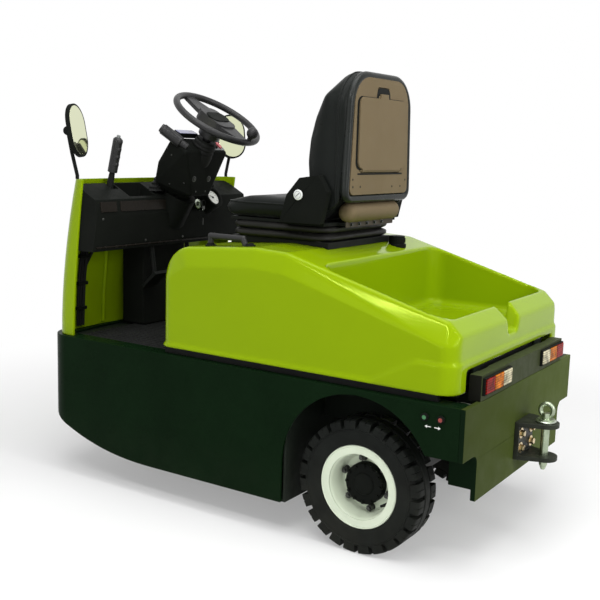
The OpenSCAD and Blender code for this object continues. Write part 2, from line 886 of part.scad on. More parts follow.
// two jaws on a back plate, bored for the tow pin
module hitch_bracket() {
    color([0.12, 0.14, 0.1]) difference() {
        union() {
            box([x_rear - hitch_plate_t, -hitch_plate_hw, jaw_low], [x_rear, hitch_plate_hw, jaw_top]);
            for (z = [jaw_low, jaw_top - jaw_t]) translate([0, 0, z]) {
                translate([pin_x, 0, 0]) cylinder(r = jaw_hw, h = jaw_t);
                linear_extrude(height = jaw_t) polygon([
                    [pin_x, -jaw_hw], [x_rear - hitch_plate_t, -hitch_plate_hw],
                    [x_rear - hitch_plate_t, hitch_plate_hw], [pin_x, jaw_hw],
                ]);
            }
        }
        translate([pin_x, 0, jaw_low - over]) cylinder(d = pin_d + 2 * run_gap, h = jaw_top);
    }
}

// tow pin with a tapered tip, a collar and a ring to lift it by
module tow_pin() {
    collar_z = jaw_top + run_gap;
    ring_r = (ring_d - ring_t) / 2;
    color([0.6, 0.62, 0.6]) {
        translate([pin_x, 0, pin_tip_z]) cylinder(d1 = pin_d / 2, d2 = pin_d, h = pin_taper);
        translate([pin_x, 0, pin_tip_z + pin_taper])
            cylinder(d = pin_d, h = collar_z + collar_t - pin_tip_z);
        translate([pin_x, 0, collar_z]) cylinder(d = collar_d, h = collar_t);
        translate([pin_x, 0, collar_z + collar_t + ring_d / 2]) rotate([90, 0, 0])
            rotate_extrude() translate([ring_r, 0]) circle(d = ring_t);
    }
}

// push button on the left skirt at x
module inch_button(x) {
    button_z = 442;
    button_d = 15;
    bezel_d = 18;
    bezel_t = 3;
    button_t = 9;
    rod_y(x, button_z, bezel_d, half_w, half_w + bezel_t);
    rod_y(x, button_z, button_d, half_w, half_w + button_t);
}

module inch_button_green() {
    green_dx = 111;
    color([0.1, 0.6, 0.25]) inch_button(x_rear + green_dx);
}

module inch_button_red() {
    red_dx = 65;
    color([0.8, 0.1, 0.1]) inch_button(x_rear + red_dx);
}

// solid that fills the cowl to t inside its outer face, from z0 up to the height z1
module cowl_core(t, z0, z1, x0) {
    heights = [for (i = [0 : 8]) z0 + (z1 - z0) * i / 8];
    skin([for (z = heights) concat([[x0, t - cowl_hw]], cowl_u_line(z, t), [[x0, cowl_hw - t]])], heights);
}

// front shield: one curved wall that returns along both sides
module cowl() {
    back_x = cowl_edge(cowl_top) - over;
    color([0.55, 0.68, 0.06]) difference() {
        cowl_core(0, chassis_top, cowl_top, back_x);
        cowl_core(cowl_t, chassis_top - over, cowl_top + over, back_x - over);
        across(chassis_w) polygon(concat(
            [[back_x - over, chassis_top - over], [cowl_rear, chassis_top - over]],
            [for (i = [0 : 12]) let (z = chassis_top + (cowl_top - chassis_top) * i / 12)
                [cowl_edge(z), z]],
            [[cowl_edge(cowl_top), cowl_top + over], [back_x - over, cowl_top + over]]
        ));
    }
}

// the gauge pod's axis, from its rear face forward and down
module on_pod() {
    pod_x = 566;
    pod_z = 934;
    translate([pod_x, gauge_y, pod_z]) rotate([0, 90 + pod_tilt, 0]) children();
}

// dash with tray, gauge pod and slot for the hand brake
module dash() {
    front_x = cowl_x(dash_low);
    tray_x0 = dash_edge_x + tray_wall;
    tray_x1 = dash_back_x;
    core_t = cowl_t + dash_gap;
    color([0.05, 0.05, 0.055]) difference() {
        union() {
            intersection() {
                across(2 * cowl_hw) polygon([
                    [dash_low_x, dash_low], [dash_ledge_x, dash_ledge_z], [dash_edge_x, dash_edge_z],
                    [dash_back_x, dash_back_z], [front_x, dash_back_z], [front_x, dash_low],
                ]);
                cowl_core(core_t, dash_low - over, dash_back_z + over, dash_ledge_x - over);
            }
            on_pod() cylinder(d = pod_d, h = pod_l);
            on_wheel() translate([0, 0, -tube_s1]) cylinder(d = socket_d, h = socket_l);
        }
        box([tray_x0, tray_y0, tray_z], [tray_x1, tray_y1, cowl_top]);
        box([brake_top_x + brake_slot_w / 2, brake_y - brake_slot_w / 2, brake_z],
            [brake_x + brake_slot_w, brake_y + brake_slot_w / 2, cowl_top]);
        on_pod() translate([0, 0, -over]) cylinder(d = dial_d, h = over + dial_depth);
        on_wheel() translate([0, 0, -tube_s1 - over]) cylinder(d = tube_d + 2 * run_gap, h = tube_s1);
        cover_form(cover_gap);
    }
}

module gauge_dial() {
    color([0.85, 0.85, 0.82]) on_pod() translate([0, 0, dial_depth - dial_t])
        cylinder(d = dial_d - 2 * run_gap, h = dial_t);
}

// key switch with its key, on the face between ledge and upper edge
module key_switch() {
    key_z = (dash_ledge_z + dash_edge_z) / 2;
    switch_t = 9;
    blade_l = 24;
    blade_w = 4;
    bow_l = 30;
    key_x = (dash_ledge_x + dash_edge_x) / 2 - switch_t / 2;
    tilt = atan((dash_edge_x - dash_ledge_x) / (dash_edge_z - dash_ledge_z));
    color([0.5, 0.5, 0.48])
    translate([(dash_ledge_x + dash_edge_x) / 2, key_y, key_z]) rotate([0, tilt - 90, 0]) {
        cylinder(d = key_d, h = switch_t);
        translate([-bow_l + blade_w, -blade_w / 2, switch_t]) cube([bow_l, blade_w, blade_l]);
    }
}

// black post in the footwell from the floor to the dash
module column_post() {
    color([0.05, 0.05, 0.05]) box([post_x, -post_hw, mat_top], [post_x + post_l, post_hw, dash_low]);
}

// tube that the steering shaft turns in
module column_tube() {
    color([0.1, 0.1, 0.1]) on_wheel() translate([0, 0, -tube_s1]) difference() {
        cylinder(d = tube_d, h = tube_s1 - tube_s0);
        translate([0, 0, tube_s1 - shaft_l - over]) cylinder(d = shaft_d + 2 * run_gap, h = tube_s1);
    }
}

// outer form of the column cover, grown by t
module cover_form(t) {
    r = cover_r;
    hull() pair() for (p = [
        [cover_rear + r, cover_hw, cover_top - cover_rise], [cover_front - r, cover_hw, cover_top],
        [cover_nose - 3 * r, cover_hw, cover_nose_z + 5 * r], [cover_nose - r, cover_hw - r, cover_nose_z],
        [cover_low_rear + r, cover_low_hw, cover_low + 2 * r],
        [cover_low_front - r, cover_low_hw, cover_low + 2 * r],
    ]) translate([p[0], p[1] - r, p[2] - r]) sphere(r = r + t, $fn = soft_fn);
}

// moulded cover round the column, wide at its top and slim at its foot
module column_cover() {
    color([0.06, 0.06, 0.065]) difference() {
        cover_form(0);
        on_wheel() translate([0, 0, -tube_s1]) cylinder(d = tube_d + 2 * run_gap, h = tube_s1);
    }
}

// thick direction lever at the left of the column
module direction_lever() {
    a = [lever_x, cover_hw - lever_d / 2, cover_top - cover_rise + lever_d / 8];
    v = [0.69, 0.42, 0.59];
    collar_l = 14;
    color([0.05, 0.05, 0.05]) difference() {
        union() {
            rod(a + v * 2 * collar_l, a + v * lever_l, lever_d);
            rod(a + v * (lever_l - collar_l), a + v * (lever_l + collar_l / 2), lever_d - collar_l / 2);
            rod(a, a + v * lever_l, lever_d - collar_l);
        }
        cover_form(run_gap);
    }
}

// two-spoke wheel with a long centre pad, a hub, a spinner knob and its shaft
module steering_wheel() {
    ring_r = (steer_d - steer_rim_t) / 2;
    spoke_end_w = 34;
    neck_d = 17;
    color([0.04, 0.04, 0.04]) on_wheel() {
        rotate_extrude() translate([ring_r, 0]) circle(d = steer_rim_t);
        translate([0, 0, -spoke_t]) linear_extrude(height = spoke_t) polygon([
            [-ring_r, -spoke_end_w / 2], [-steer_pad_l / 2, -spoke_w / 2], [steer_pad_l / 2, -spoke_w / 2],
            [ring_r, -spoke_end_w / 2], [ring_r, spoke_end_w / 2], [steer_pad_l / 2, spoke_w / 2],
            [-steer_pad_l / 2, spoke_w / 2], [-ring_r, spoke_end_w / 2],
        ]);
        translate([0, 0, -steer_pad_t]) linear_extrude(height = steer_pad_t + steer_rim_t / 4)
            round_rect([-steer_pad_l / 2, -steer_pad_w / 2],
                [steer_pad_l / 2, steer_pad_w / 2], steer_pad_r);
        translate([0, 0, -steer_hub_l])
            cylinder(d1 = steer_hub_d, d2 = steer_pad_w, h = steer_hub_l - steer_pad_t / 2);
        translate([0, 0, -shaft_l]) cylinder(d = shaft_d, h = shaft_l);
        rotate([0, 0, knob_angle]) translate([ring_r, 0, 0]) {
            cylinder(d = neck_d, h = knob_h);
            translate([0, 0, knob_h]) sphere(d = knob_d);
        }
    }
}

// hand brake lever with a thick grip
module hand_brake() {
    foot = [brake_x, brake_y, brake_z];
    tip = [brake_top_x, brake_y, brake_top_z];
    v = (tip - foot) / norm(tip - foot);
    button_d = 15;
    button_l = 8;
    color([0.06, 0.06, 0.06]) difference() {
        union() {
            rod(foot - v * brake_w, tip - v * brake_grip_l / 2, brake_w);
            rod(tip - v * brake_grip_l, tip - v * button_l, brake_grip_d);
            rod(tip - v * brake_grip_l / 2, tip, button_d);
        }
        box(foot - [over, over, 2 * over], foot + [over, over, run_gap]);
    }
}

// brake and drive pedals hanging from the dash
module pedals() {
    color([0.08, 0.08, 0.08]) for (y = [pedal_y, -pedal_y]) difference() {
        union() {
            translate([pedal_x, y, pedal_z]) rotate([0, -pedal_lean, 0])
                translate([-pedal_t / 2, -pedal_w / 2, -pedal_l / 2]) cube([pedal_t, pedal_w, pedal_l]);
            rod([pedal_x, y, pedal_z], [pedal_x + pedal_l / 4, y, dash_low + over], pedal_arm_d);
        }
        box([pedal_x - over, y - over, dash_low - run_gap],
            [pedal_x + pedal_l, y + over, dash_low + 2 * over]);
    }
}

// the mirror's frame on the left: X looks back to the seat
module on_mirror() {
    translate([mirror_x, mirror_y, mirror_z]) rotate([0, mirror_lean, mirror_toe]) children();
}

module mirror_oval(x0, l, rim) {
    h = mirror_h - 2 * rim;
    w = mirror_w - 2 * rim;
    translate([x0, 0, 0]) rotate([0, 90, 0]) linear_extrude(height = l) {
        for (s = [-1, 1]) translate([s * (h - w) / 2, 0]) circle(d = w);
        square([h - w, w], center = true);
    }
}

// bent stems on the cowl's upper edge with a ball behind each mirror
module mirror_arms() {
    ball_reach = 24;
    knee_out = 22;
    knee_h = 84;
    neck_d = 9;
    knee = [stem_x, stem_y + knee_out, cowl_top + knee_h];
    ball = [mirror_x + ball_reach * cos(mirror_toe), mirror_y + ball_reach * sin(mirror_toe), mirror_z];
    color([0.07, 0.07, 0.07]) pair() difference() {
        union() {
            rod([stem_x, stem_y, cowl_top - over], [stem_x, stem_y, cowl_top + stem_d], stem_d);
            rod([stem_x, stem_y, cowl_top + stem_d], knee, stem_d);
            translate([stem_x, stem_y, cowl_top + stem_d]) sphere(d = stem_d + run_gap);
            translate(knee) sphere(d = stem_d + run_gap);
            rod(knee, ball, stem_d);
            translate(ball) sphere(d = ball_d);
            on_mirror() rotate([0, 90, 0]) cylinder(d = neck_d, h = ball_reach);
        }
        box([stem_x - over, stem_y - over, cowl_top - 2 * over],
            [stem_x + over, stem_y + over, cowl_top + run_gap]);
        on_mirror() mirror_oval(-mirror_t, mirror_t + run_gap, 0);
    }
}

module mirror_shells() {
    color([0.05, 0.05, 0.05]) pair() on_mirror() difference() {
        mirror_oval(-mirror_t, mirror_t, 0);
        mirror_oval(-mirror_t - over, over + mirror_rim, mirror_rim);
    }
}

module mirror_glass() {
    color([0.75, 0.78, 0.8]) pair() on_mirror()
        mirror_oval(run_gap - mirror_t, mirror_rim - run_gap, mirror_rim + run_gap);
}

// soft outer form of the hood, t inside its outer skin and open by d below its edge
module hood_form(t, d) {
    top_y = hood_hw - shoulder_lean - edge_r;
    hull() pair() {
        translate([hood_front - hood_front_r, hood_hw - hood_front_r, hood_z0 - d])
            cylinder(r = hood_front_r - t, h = hood_front_top - roll_r - hood_z0 + d, $fn = soft_fn);
        translate([hood_front - roll_r, top_y, hood_front_top - roll_r]) rotate([90, 0, 0])
            rotate_extrude($fn = 2 * soft_fn) translate([roll_r - edge_r, 0])
                circle(r = edge_r - t, $fn = soft_fn);
        for (p = [[hood_front - roll_r, hood_front_top], [crown_x, hood_top], [bend_x, bend_top]]) {
            translate([p[0], hood_hw - edge_r, p[1] - shoulder_h]) sphere(r = edge_r - t, $fn = soft_fn);
            translate([p[0], top_y, p[1] - edge_r]) sphere(r = edge_r - t, $fn = soft_fn);
        }
        translate([hood_rear + hood_rear_r, hood_hw - hood_rear_r, hood_z0 - d])
            cylinder(r = hood_rear_r - t, h = hood_rear_top - shoulder_h - hood_z0 + d, $fn = 2 * soft_fn);
        translate([tub_rear, top_y - edge_r, hood_rear_top - edge_r]) sphere(r = edge_r - t, $fn = soft_fn);
        translate([hood_rear + edge_r, hood_hw - hood_rear_r, hood_rear_top - rim_drop - edge_r])
            sphere(r = edge_r - t, $fn = soft_fn);
    }
}

// space of the tub, grown by t
module tub_form(t) {
    hull() pair() for (x = [tub_front - tub_r, tub_rear + tub_r]) {
        translate([x, tub_hw - tub_r, tub_floor + tub_fillet_r]) rotate_extrude($fn = soft_fn)
            translate([tub_r - tub_fillet_r, 0]) circle(r = tub_fillet_r + t, $fn = soft_fn);
        translate([x, tub_hw - tub_r, tub_floor + tub_fillet_r])
            cylinder(r = tub_r + t, h = hood_top - tub_floor, $fn = soft_fn);
    }
}

// space of the notch in the tub's rear rim, grown by t
module notch_form(t) {
    low = [notch_low_hw - notch_r, notch_z + notch_r];
    high = [notch_hw - notch_r, hood_rear_top + notch_r];
    hull() pair() for (p = [low, high])
        translate([hood_rear - over, p[0], p[1]]) rotate([0, 90, 0])
            cylinder(r = notch_r + t, h = tub_rear - hood_rear + 2 * over, $fn = soft_fn);
}

// one-piece hood with the stowage tub behind the seat
module hood() {
    color([0.55, 0.68, 0.06]) difference() {
        union() {
            hood_form(0, 0);
            intersection() {
                hood_form(-lip_out, 0);
                box([lip_rise_x, -half_w, hood_z0], [hood_front + over, half_w, hood_z0 + lip_h]);
            }
            intersection() {
                hood_form(-tail_out, 0);
                across(2 * hood_hw + over) polygon([
                    [lip_rise_x, hood_z0], [lip_rise_x, hood_z0 + lip_h], [lip_level_x, lip_level_z],
                    [hood_rear - over, lip_level_z], [hood_rear - over, hood_z0],
                ]);
            }
        }
        difference() {
            hood_form(hood_t, over);
            tub_form(hood_t);
            notch_form(hood_t);
        }
        tub_form(0);
        notch_form(0);
        box([hood_rear - over, -bar_hw - bar_gap, hood_z0 - over],
            [hood_rear + hood_rear_r, bar_hw + bar_gap, bar_top + bar_gap]);
    }
}

// hinge arms under the hood's rear wall
module hood_hinges() {
    arm_t = 6;
    arm_top = 590;
    arm_x = hood_rear + hood_t + run_gap;
    color([0.2, 0.2, 0.2]) pair() difference() {
        union() {
            rod_y(hinge_x, hinge_z, hinge_eye_d, hinge_y - hinge_arm_w / 2, hinge_y + hinge_arm_w / 2);
            box([hinge_x, hinge_y - hinge_arm_w / 2, hinge_z - arm_t / 2],
                [arm_x + arm_t, hinge_y + hinge_arm_w / 2, hinge_z + arm_t / 2]);
            box([arm_x, hinge_y - hinge_arm_w / 2, hinge_z - arm_t / 2],
                [arm_x + arm_t, hinge_y + hinge_arm_w / 2, arm_top]);
        }
        rod_y(hinge_x, hinge_z, hinge_pin_d + 2 * run_gap, hinge_y - hinge_arm_w, hinge_y + hinge_arm_w);
    }
}

// bar handle on the left of the hood, its rear post leaning
module grab_handle() {
    z = handle_top - handle_d / 2;
    bend_d = handle_d + cover_gap / 2;
    low = hood_front_top - over;
    lean = 26;
    color([0.05, 0.05, 0.05]) difference() {
        union() {
            rod([handle_x0 + lean, handle_y, z], [handle_x1, handle_y, z], handle_d);
            rod([handle_x0, handle_y, low], [handle_x0 + lean, handle_y, z], handle_d);
            rod([handle_x1, handle_y, low], [handle_x1, handle_y, z], handle_d);
            for (x = [handle_x0 + lean, handle_x1]) translate([x, handle_y, z]) sphere(d = bend_d);
        }
        hood_form(-run_gap, 0);
    }
}

// round cap on the sloping deck behind the seat
module deck_cap() {
    cap_flange_t = 5;
    color([0.05, 0.05, 0.05]) difference() {
        union() {
            translate([cap_x, cap_y, deck_top(cap_x) - over]) cylinder(d = cap_d, h = over + cap_h);
            translate([cap_x, cap_y, deck_top(cap_x) - over])
                cylinder(d = cap_d + 2 * cap_flange_t, h = over + cap_flange_t);
        }
        hood_form(-run_gap, 0);
    }
}

// seat base whose underside follows the crowned hood
module seat_base() {
    base_low = hood_top - 2 * base_t - over / 2;
    color([0.1, 0.1, 0.1]) difference() {
        box([base_rear, -base_hw, base_low], [base_front, base_hw, hood_top + base_t]);
        hood_form(-run_gap, 0);
    }
}

// two soft folds between base and seat pan
module seat_bellows() {
    z0 = hood_top + base_t;
    fold_h = (pan_top - pan_t - z0) / 2;
    r = fold_h / 2;
    color([0.05, 0.05, 0.05]) for (i = [0, 1]) hull() pair() for (x = [base_rear + r, base_front - r])
        translate([x, base_hw - i * r / 2, z0 + r + i * fold_h]) sphere(r = r, $fn = soft_fn);
}

module seat_pan() {
    tail_hw = 146;
    color([0.1, 0.1, 0.1]) {
        box([base_rear, -pan_hw, pan_top - pan_t], [base_front, pan_hw, pan_top]);
        box([pan_rear, -tail_hw, pan_top - pan_t], [base_front, tail_hw, pan_top]);
    }
}

module seat_cushion() {
    r = cushion_r;
    nose_r = 27;
    side_drop = 9;
    dish = 14;
    color([0.05, 0.05, 0.05]) hull() pair() {
        translate([cushion_rear + r, cushion_hw - r, cushion_top - r]) sphere(r = r, $fn = soft_fn);
        translate([cushion_front - 3 * r, cushion_hw - r, cushion_top - r]) sphere(r = r, $fn = soft_fn);
        translate([cushion_front - nose_r, cushion_hw - r - side_drop, cushion_top - r - side_drop])
            sphere(r = nose_r, $fn = soft_fn);
        translate([cushion_front - nose_r - dish, cushion_hw - r, pan_top + run_gap + nose_r])
            sphere(r = nose_r, $fn = soft_fn);
        translate([cushion_rear + nose_r, cushion_hw - r, pan_top + run_gap + nose_r])
            sphere(r = nose_r, $fn = soft_fn);
    }
}

// upholstered backrest with a bowed front, round lower ends and a recess for the document pocket's pan
module seat_backrest() {
    r = back_r;
    hip_z = 1016;
    belly_z = 1085;
    bow_r = 345;
    step = 60;
    color([0.05, 0.05, 0.05]) difference() {
        union() {
            hull() pair() {
                translate([back_front - r, back_hw - r - recliner_t, pan_top + run_gap + r])
                    sphere(r = r, $fn = soft_fn);
                translate([back_rear + r, back_hw - r, hip_z]) sphere(r = r, $fn = soft_fn);
                for (h = [-step, 0, step, 2 * step, 3 * step])
                    translate([back_belly - h * h / (2 * bow_r) - r, back_hw - r, belly_z + h])
                        sphere(r = r, $fn = soft_fn);
                for (x = [back_top_front - r, back_rear + r])
                    translate([x, back_hw - back_corner_r, back_top - back_corner_r]) rotate([0, 90, 0])
                        rotate_extrude($fn = 2 * soft_fn) translate([back_corner_r - r, 0])
                            circle(r = r, $fn = soft_fn);
            }
            pair() rod_y(hip_x, hip_dz + pan_top, hip_d, back_hw - 2 * hip_t, back_hw);
        }
        pocket_pan(back_rear - over, over + pocket_d + run_gap, run_gap);
    }
}

// angular covers of the recliner on both sides, with a round cap on the pivot
module seat_recliners() {
    cap_t = 5;
    outline_shares = [[1.17, -1.43], [0.78, -0.03], [0.03, 0.83], [-1.1, 1], [-1.62, 0.2], [-1.25, -1.4]];
    foot_x0 = recliner_x + outline_shares[5][0] * recliner_r;
    foot_x1 = recliner_x + outline_shares[0][0] * recliner_r;
    y0 = cushion_hw + cover_gap;
    color([0.07, 0.07, 0.07]) pair() {
        box([foot_x0, pan_hw, pan_top - pan_t], [foot_x1, y0, pan_top]);
        translate([0, y0 + recliner_t / 2, 0]) across(recliner_t)
            polygon([for (p = outline_shares) [recliner_x, recliner_z] + p * recliner_r]);
        rod_y(recliner_x, recliner_z, recliner_cap_d, y0, y0 + recliner_t + cap_t);
    }
}

// outline of the document pocket's mouth, swept forward, grown by t
module pocket_pan(x0, l, t) {
    w = pocket_rim - pocket_wall - t;
    along(x0, l) round_rect([w - lid_hw, lid_low + w], [lid_hw - w, lid_top - w], lid_r);
}

// moulded back panel with the document pocket and the roll under it
module seat_back_panel() {
    front = back_rear - run_gap;
    roll_x = panel_rear + roll_d / 2 + cover_gap;
    roll_z = pan_top + roll_d / 2 + run_gap;
    roll_end_r = 24;
    latch_hw = 38;
    latch_rise = 34;
    latch_d = 5;
    color([0.5, 0.43, 0.33]) {
        difference() {
            union() {
                along(panel_rear, front - panel_rear) polygon(concat(
                    arc([panel_low_r - panel_hw, panel_low + panel_low_r], panel_low_r, 180, 270),
                    arc([panel_hw - panel_low_r, panel_low + panel_low_r], panel_low_r, 270, 360),
                    arc([panel_top_hw - panel_r, panel_top - panel_r], panel_r, 0, 90, 16),
                    arc([panel_r - panel_top_hw, panel_top - panel_r], panel_r, 90, 180, 16)
                ));
                pocket_pan(front - run_gap, pocket_d + run_gap, 0);
            }
            along(panel_rear - over, over + pocket_d - pocket_wall)
                round_rect([pocket_rim - lid_hw, lid_low + pocket_rim],
                    [lid_hw - pocket_rim, lid_top - pocket_rim], lid_r);
            box([panel_rear - over, -barrel_hw - cover_gap, lid_low - barrel_d - cover_gap],
                [front + over, barrel_hw + cover_gap, lid_low + cover_gap]);
            along(panel_rear - over, over + latch_d)
                round_rect([-latch_hw, lid_top - latch_rise],
                    [latch_hw, lid_top + latch_rise], panel_low_r / 2);
            rod_y(panel_rear, lid_low - barrel_d / 2, lid_pin_d + 2 * run_gap,
                -barrel_hw - over / 2, barrel_hw + over / 2);
        }
        translate([roll_x, 0, roll_z]) rotate([90, 0, 0]) rotate_extrude() polygon(concat(
            [[0, -roll_hw]],
            arc([roll_d / 2 - roll_end_r, roll_end_r - roll_hw], roll_end_r, -90, 0),
            arc([roll_d / 2 - roll_end_r, roll_hw - roll_end_r], roll_end_r, 0, 90),
            [[0, roll_hw]]
        ));
    }
}

// lid over the document pocket, hinged along its lower edge, with a tab to pull it by
module document_lid() {
    z = lid_low - barrel_d / 2;
    x0 = panel_rear - lid_t - run_gap;
    tab_hw = 24;
    tab_h = 14;
    color([0.5, 0.43, 0.33]) {
        along(x0, lid_t) round_rect([-lid_hw, lid_low], [lid_hw, lid_top], lid_r);
        box([x0, -tab_hw, lid_top - lid_r], [x0 + lid_t, tab_hw, lid_top + tab_h]);
        box([x0, -barrel_hw, z], [x0 + lid_t, barrel_hw, lid_low + lid_r]);
        rod_y(panel_rear, z, barrel_d, -barrel_hw, barrel_hw);
        rod_y(panel_rear, z, lid_pin_d,
            -barrel_hw - over / 2 + cover_gap, barrel_hw + over / 2 - cover_gap);
    }
}

// fork that carries the front wheel and turns on the kingpin
module front_fork() {
    leg_y = tyre_w / 2 + fork_gap;
    color([0.15, 0.15, 0.16]) translate([front_axle_x, 0, 0]) {
        pair() box([-leg_w / 2, leg_y, axle_z], [leg_w / 2, leg_y + leg_t, turn_z]);
        pair() rod_y(0, axle_z, leg_w, leg_y, leg_y + leg_t);
        box([-leg_w / 2, -leg_y - leg_t, bridge_z], [leg_w / 2, leg_y + leg_t, turn_z]);
        translate([0, 0, bridge_z]) cylinder(d = turn_plate_d, h = bridge_t + turn_plate_t);
        translate([0, 0, turn_z]) cylinder(d = kingpin_d, h = deck_z - sheet_t - head_gap - turn_z);
        rod_y(0, axle_z, front_pin_d, -leg_y - leg_t, leg_y + leg_t);
    }
}

// tyre about the Z axis, its middle at zero
module tyre() {
    seat_r = seat_d / 2 + run_gap;
    r = tyre_shoulder_r;
    difference() {
        rotate_extrude($fn = 2 * lug_count) difference() {
            translate([seat_r, -tyre_w / 2]) square([tyre_d / 2 - seat_r, tyre_w]);
            for (s = [0, 1]) mirror([0, s]) {
                difference() {
                    translate([tyre_d / 2 - r, tyre_w / 2 - r]) square(r + over);
                    translate([tyre_d / 2 - r, tyre_w / 2 - r]) circle(r = r, $fn = soft_fn / 3);
                }
                translate([seat_r - over, rim_w / 2 - rim_t])
                    square([rim_d / 2 - seat_r + over + run_gap, tyre_w]);
            }
        }
        for (s = [0, 1], i = [0 : lug_count - 1]) mirror([0, 0, s])
            rotate([0, 0, (i + s / 2) * 360 / lug_count])
                box([tyre_d / 2 - lug_h, -lug_gap / 2, tyre_w / 2 - lug_l],
                    [tyre_d / 2 + over, lug_gap / 2, tyre_w / 2 + over]);
    }
}

// rim with flanges about the Z axis, outer side up
module rim() {
    seat_r = seat_d / 2;
    difference() {
        union() {
            translate([0, 0, -rim_w / 2]) cylinder(r = seat_r, h = rim_w);
            for (z = [-rim_w / 2, rim_w / 2 - rim_t]) translate([0, 0, z]) cylinder(d = rim_d, h = rim_t);
        }
        translate([0, 0, rim_w / 2 - disc_depth]) cylinder(r = seat_r - rim_t, h = rim_w);
        translate([0, 0, -rim_w / 2 - over])
            cylinder(r = seat_r - rim_t, h = rim_w - disc_depth - disc_t + over);
    }
}

// driven wheel with its hub, about the Z axis, outer side up
module driven_wheel() {
    face = rim_w / 2 - hub_depth;
    back = rim_w / 2 - disc_depth - disc_t;
    boss_d = hub_d + 2 * disc_t;
    boss_l = rim_w / 2 + back - sheet_t / 2;
    difference() {
        union() {
            rim();
            translate([0, 0, back]) cylinder(d = hub_d, h = face - back);
            translate([0, 0, back - boss_l]) cylinder(d = boss_d, h = boss_l);
        }
        translate([0, 0, -rim_w])
            cylinder(d = spindle_d + 2 * run_gap, h = rim_w + rim_w / 2 - disc_depth + run_gap);
    }
}

module rear_wheel_left() {
    color([0.9, 0.88, 0.8]) translate([rear_axle_x, rear_wheel_y, axle_z]) rotate([-90, 0, 0])
        driven_wheel();
}

module rear_tyre_left() {
    color([0.04, 0.04, 0.04]) translate([rear_axle_x, rear_wheel_y, axle_z]) rotate([-90, 0, 0]) tyre();
}

module rear_wheel_right() {
    color([0.9, 0.88, 0.8]) translate([rear_axle_x, -rear_wheel_y, axle_z]) rotate([90, 0, 0])
        driven_wheel();
}

module rear_tyre_right() {
    color([0.04, 0.04, 0.04]) translate([rear_axle_x, -rear_wheel_y, axle_z]) rotate([90, 0, 0]) tyre();
}

// undriven wheel with a hub bored through for the front axle pin
module front_wheel() {
    hub_l = tyre_w + fork_gap;
    color([0.9, 0.88, 0.8]) translate([front_axle_x, 0, axle_z]) rotate([-90, 0, 0]) difference() {
        union() {
            rim();
            translate([0, 0, -hub_l / 2]) cylinder(d = hub_d - 4 * disc_t, h = hub_l);
        }
        translate([0, 0, -hub_l]) cylinder(d = front_pin_d + 2 * run_gap, h = 2 * hub_l);
    }
}

module front_tyre() {
    color([0.04, 0.04, 0.04]) translate([front_axle_x, 0, axle_z]) rotate([-90, 0, 0]) tyre();
}

chassis_skirt();
chassis_frame();
floor_deck();
floor_mat();
rear_plate();
rear_axle();
battery();
hood_seal();
lamp_bar();
tail_lamps();
tail_lens_red();
tail_lens_amber();
tail_lens_clear();
hitch_bracket();
tow_pin();
inch_button_green();
inch_button_red();
cowl();
dash();
gauge_dial();
key_switch();
column_post();
column_tube();
column_cover();
direction_lever();
steering_wheel();
hand_brake();
pedals();
mirror_arms();
mirror_shells();
mirror_glass();
hood();
hood_hinges();
grab_handle();
deck_cap();
seat_base();
seat_bellows();
seat_pan();
seat_cushion();
seat_backrest();
seat_recliners();
seat_back_panel();
document_lid();
front_fork();
front_wheel();
front_tyre();
rear_wheel_left();
rear_tyre_left();
rear_wheel_right();
rear_tyre_right();
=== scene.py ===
"""Looks of an electric tow tractor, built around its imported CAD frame.

Points, seams, camera and stage are in metres. Outlines, profiles, places and sizes of pieces
that go through place() or Shape are in millimetres.
"""

import json
from math import cos, hypot, pi, radians, sin, sqrt

import bmesh
import bpy
from mathutils import Matrix, Vector, noise
from mathutils.bvhtree import BVHTree


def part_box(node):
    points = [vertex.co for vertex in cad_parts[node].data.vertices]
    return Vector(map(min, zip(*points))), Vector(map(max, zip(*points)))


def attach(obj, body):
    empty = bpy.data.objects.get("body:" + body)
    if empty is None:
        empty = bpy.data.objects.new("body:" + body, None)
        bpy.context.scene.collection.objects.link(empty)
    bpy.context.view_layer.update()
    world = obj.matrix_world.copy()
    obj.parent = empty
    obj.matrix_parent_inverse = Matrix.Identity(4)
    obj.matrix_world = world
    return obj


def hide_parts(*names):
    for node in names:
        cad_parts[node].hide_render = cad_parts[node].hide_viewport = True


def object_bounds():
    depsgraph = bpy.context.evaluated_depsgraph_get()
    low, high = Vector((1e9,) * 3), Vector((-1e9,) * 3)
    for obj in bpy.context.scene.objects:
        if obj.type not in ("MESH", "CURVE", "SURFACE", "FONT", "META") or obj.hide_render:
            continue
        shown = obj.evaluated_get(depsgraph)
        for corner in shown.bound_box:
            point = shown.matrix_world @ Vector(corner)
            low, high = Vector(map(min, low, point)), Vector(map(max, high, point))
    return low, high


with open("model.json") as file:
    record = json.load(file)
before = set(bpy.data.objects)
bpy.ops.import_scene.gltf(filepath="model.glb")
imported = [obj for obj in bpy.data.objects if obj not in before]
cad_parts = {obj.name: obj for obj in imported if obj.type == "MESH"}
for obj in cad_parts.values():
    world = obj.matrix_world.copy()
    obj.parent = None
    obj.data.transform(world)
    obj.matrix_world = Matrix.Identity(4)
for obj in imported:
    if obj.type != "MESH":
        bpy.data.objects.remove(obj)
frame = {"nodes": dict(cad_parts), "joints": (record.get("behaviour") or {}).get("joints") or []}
cad_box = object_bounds()
nodes = frame["nodes"]
joints = {j["name"]: j for j in frame["joints"]}
MM = 0.001
X = Vector((1, 0, 0))
Y = Vector((0, 1, 0))
Z = Vector((0, 0, 1))

# Camera, fitted to the photograph's 600 x 600 frame

CAMERA_AT = Vector((-1.6307, 2.6183, 1.1268))
CAMERA_YAW = radians(-57.12)
CAMERA_PITCH = radians(9.2)
CAMERA_ROLL = radians(1.68)
CAMERA_LENS = 56.92
SENSOR = 36.0


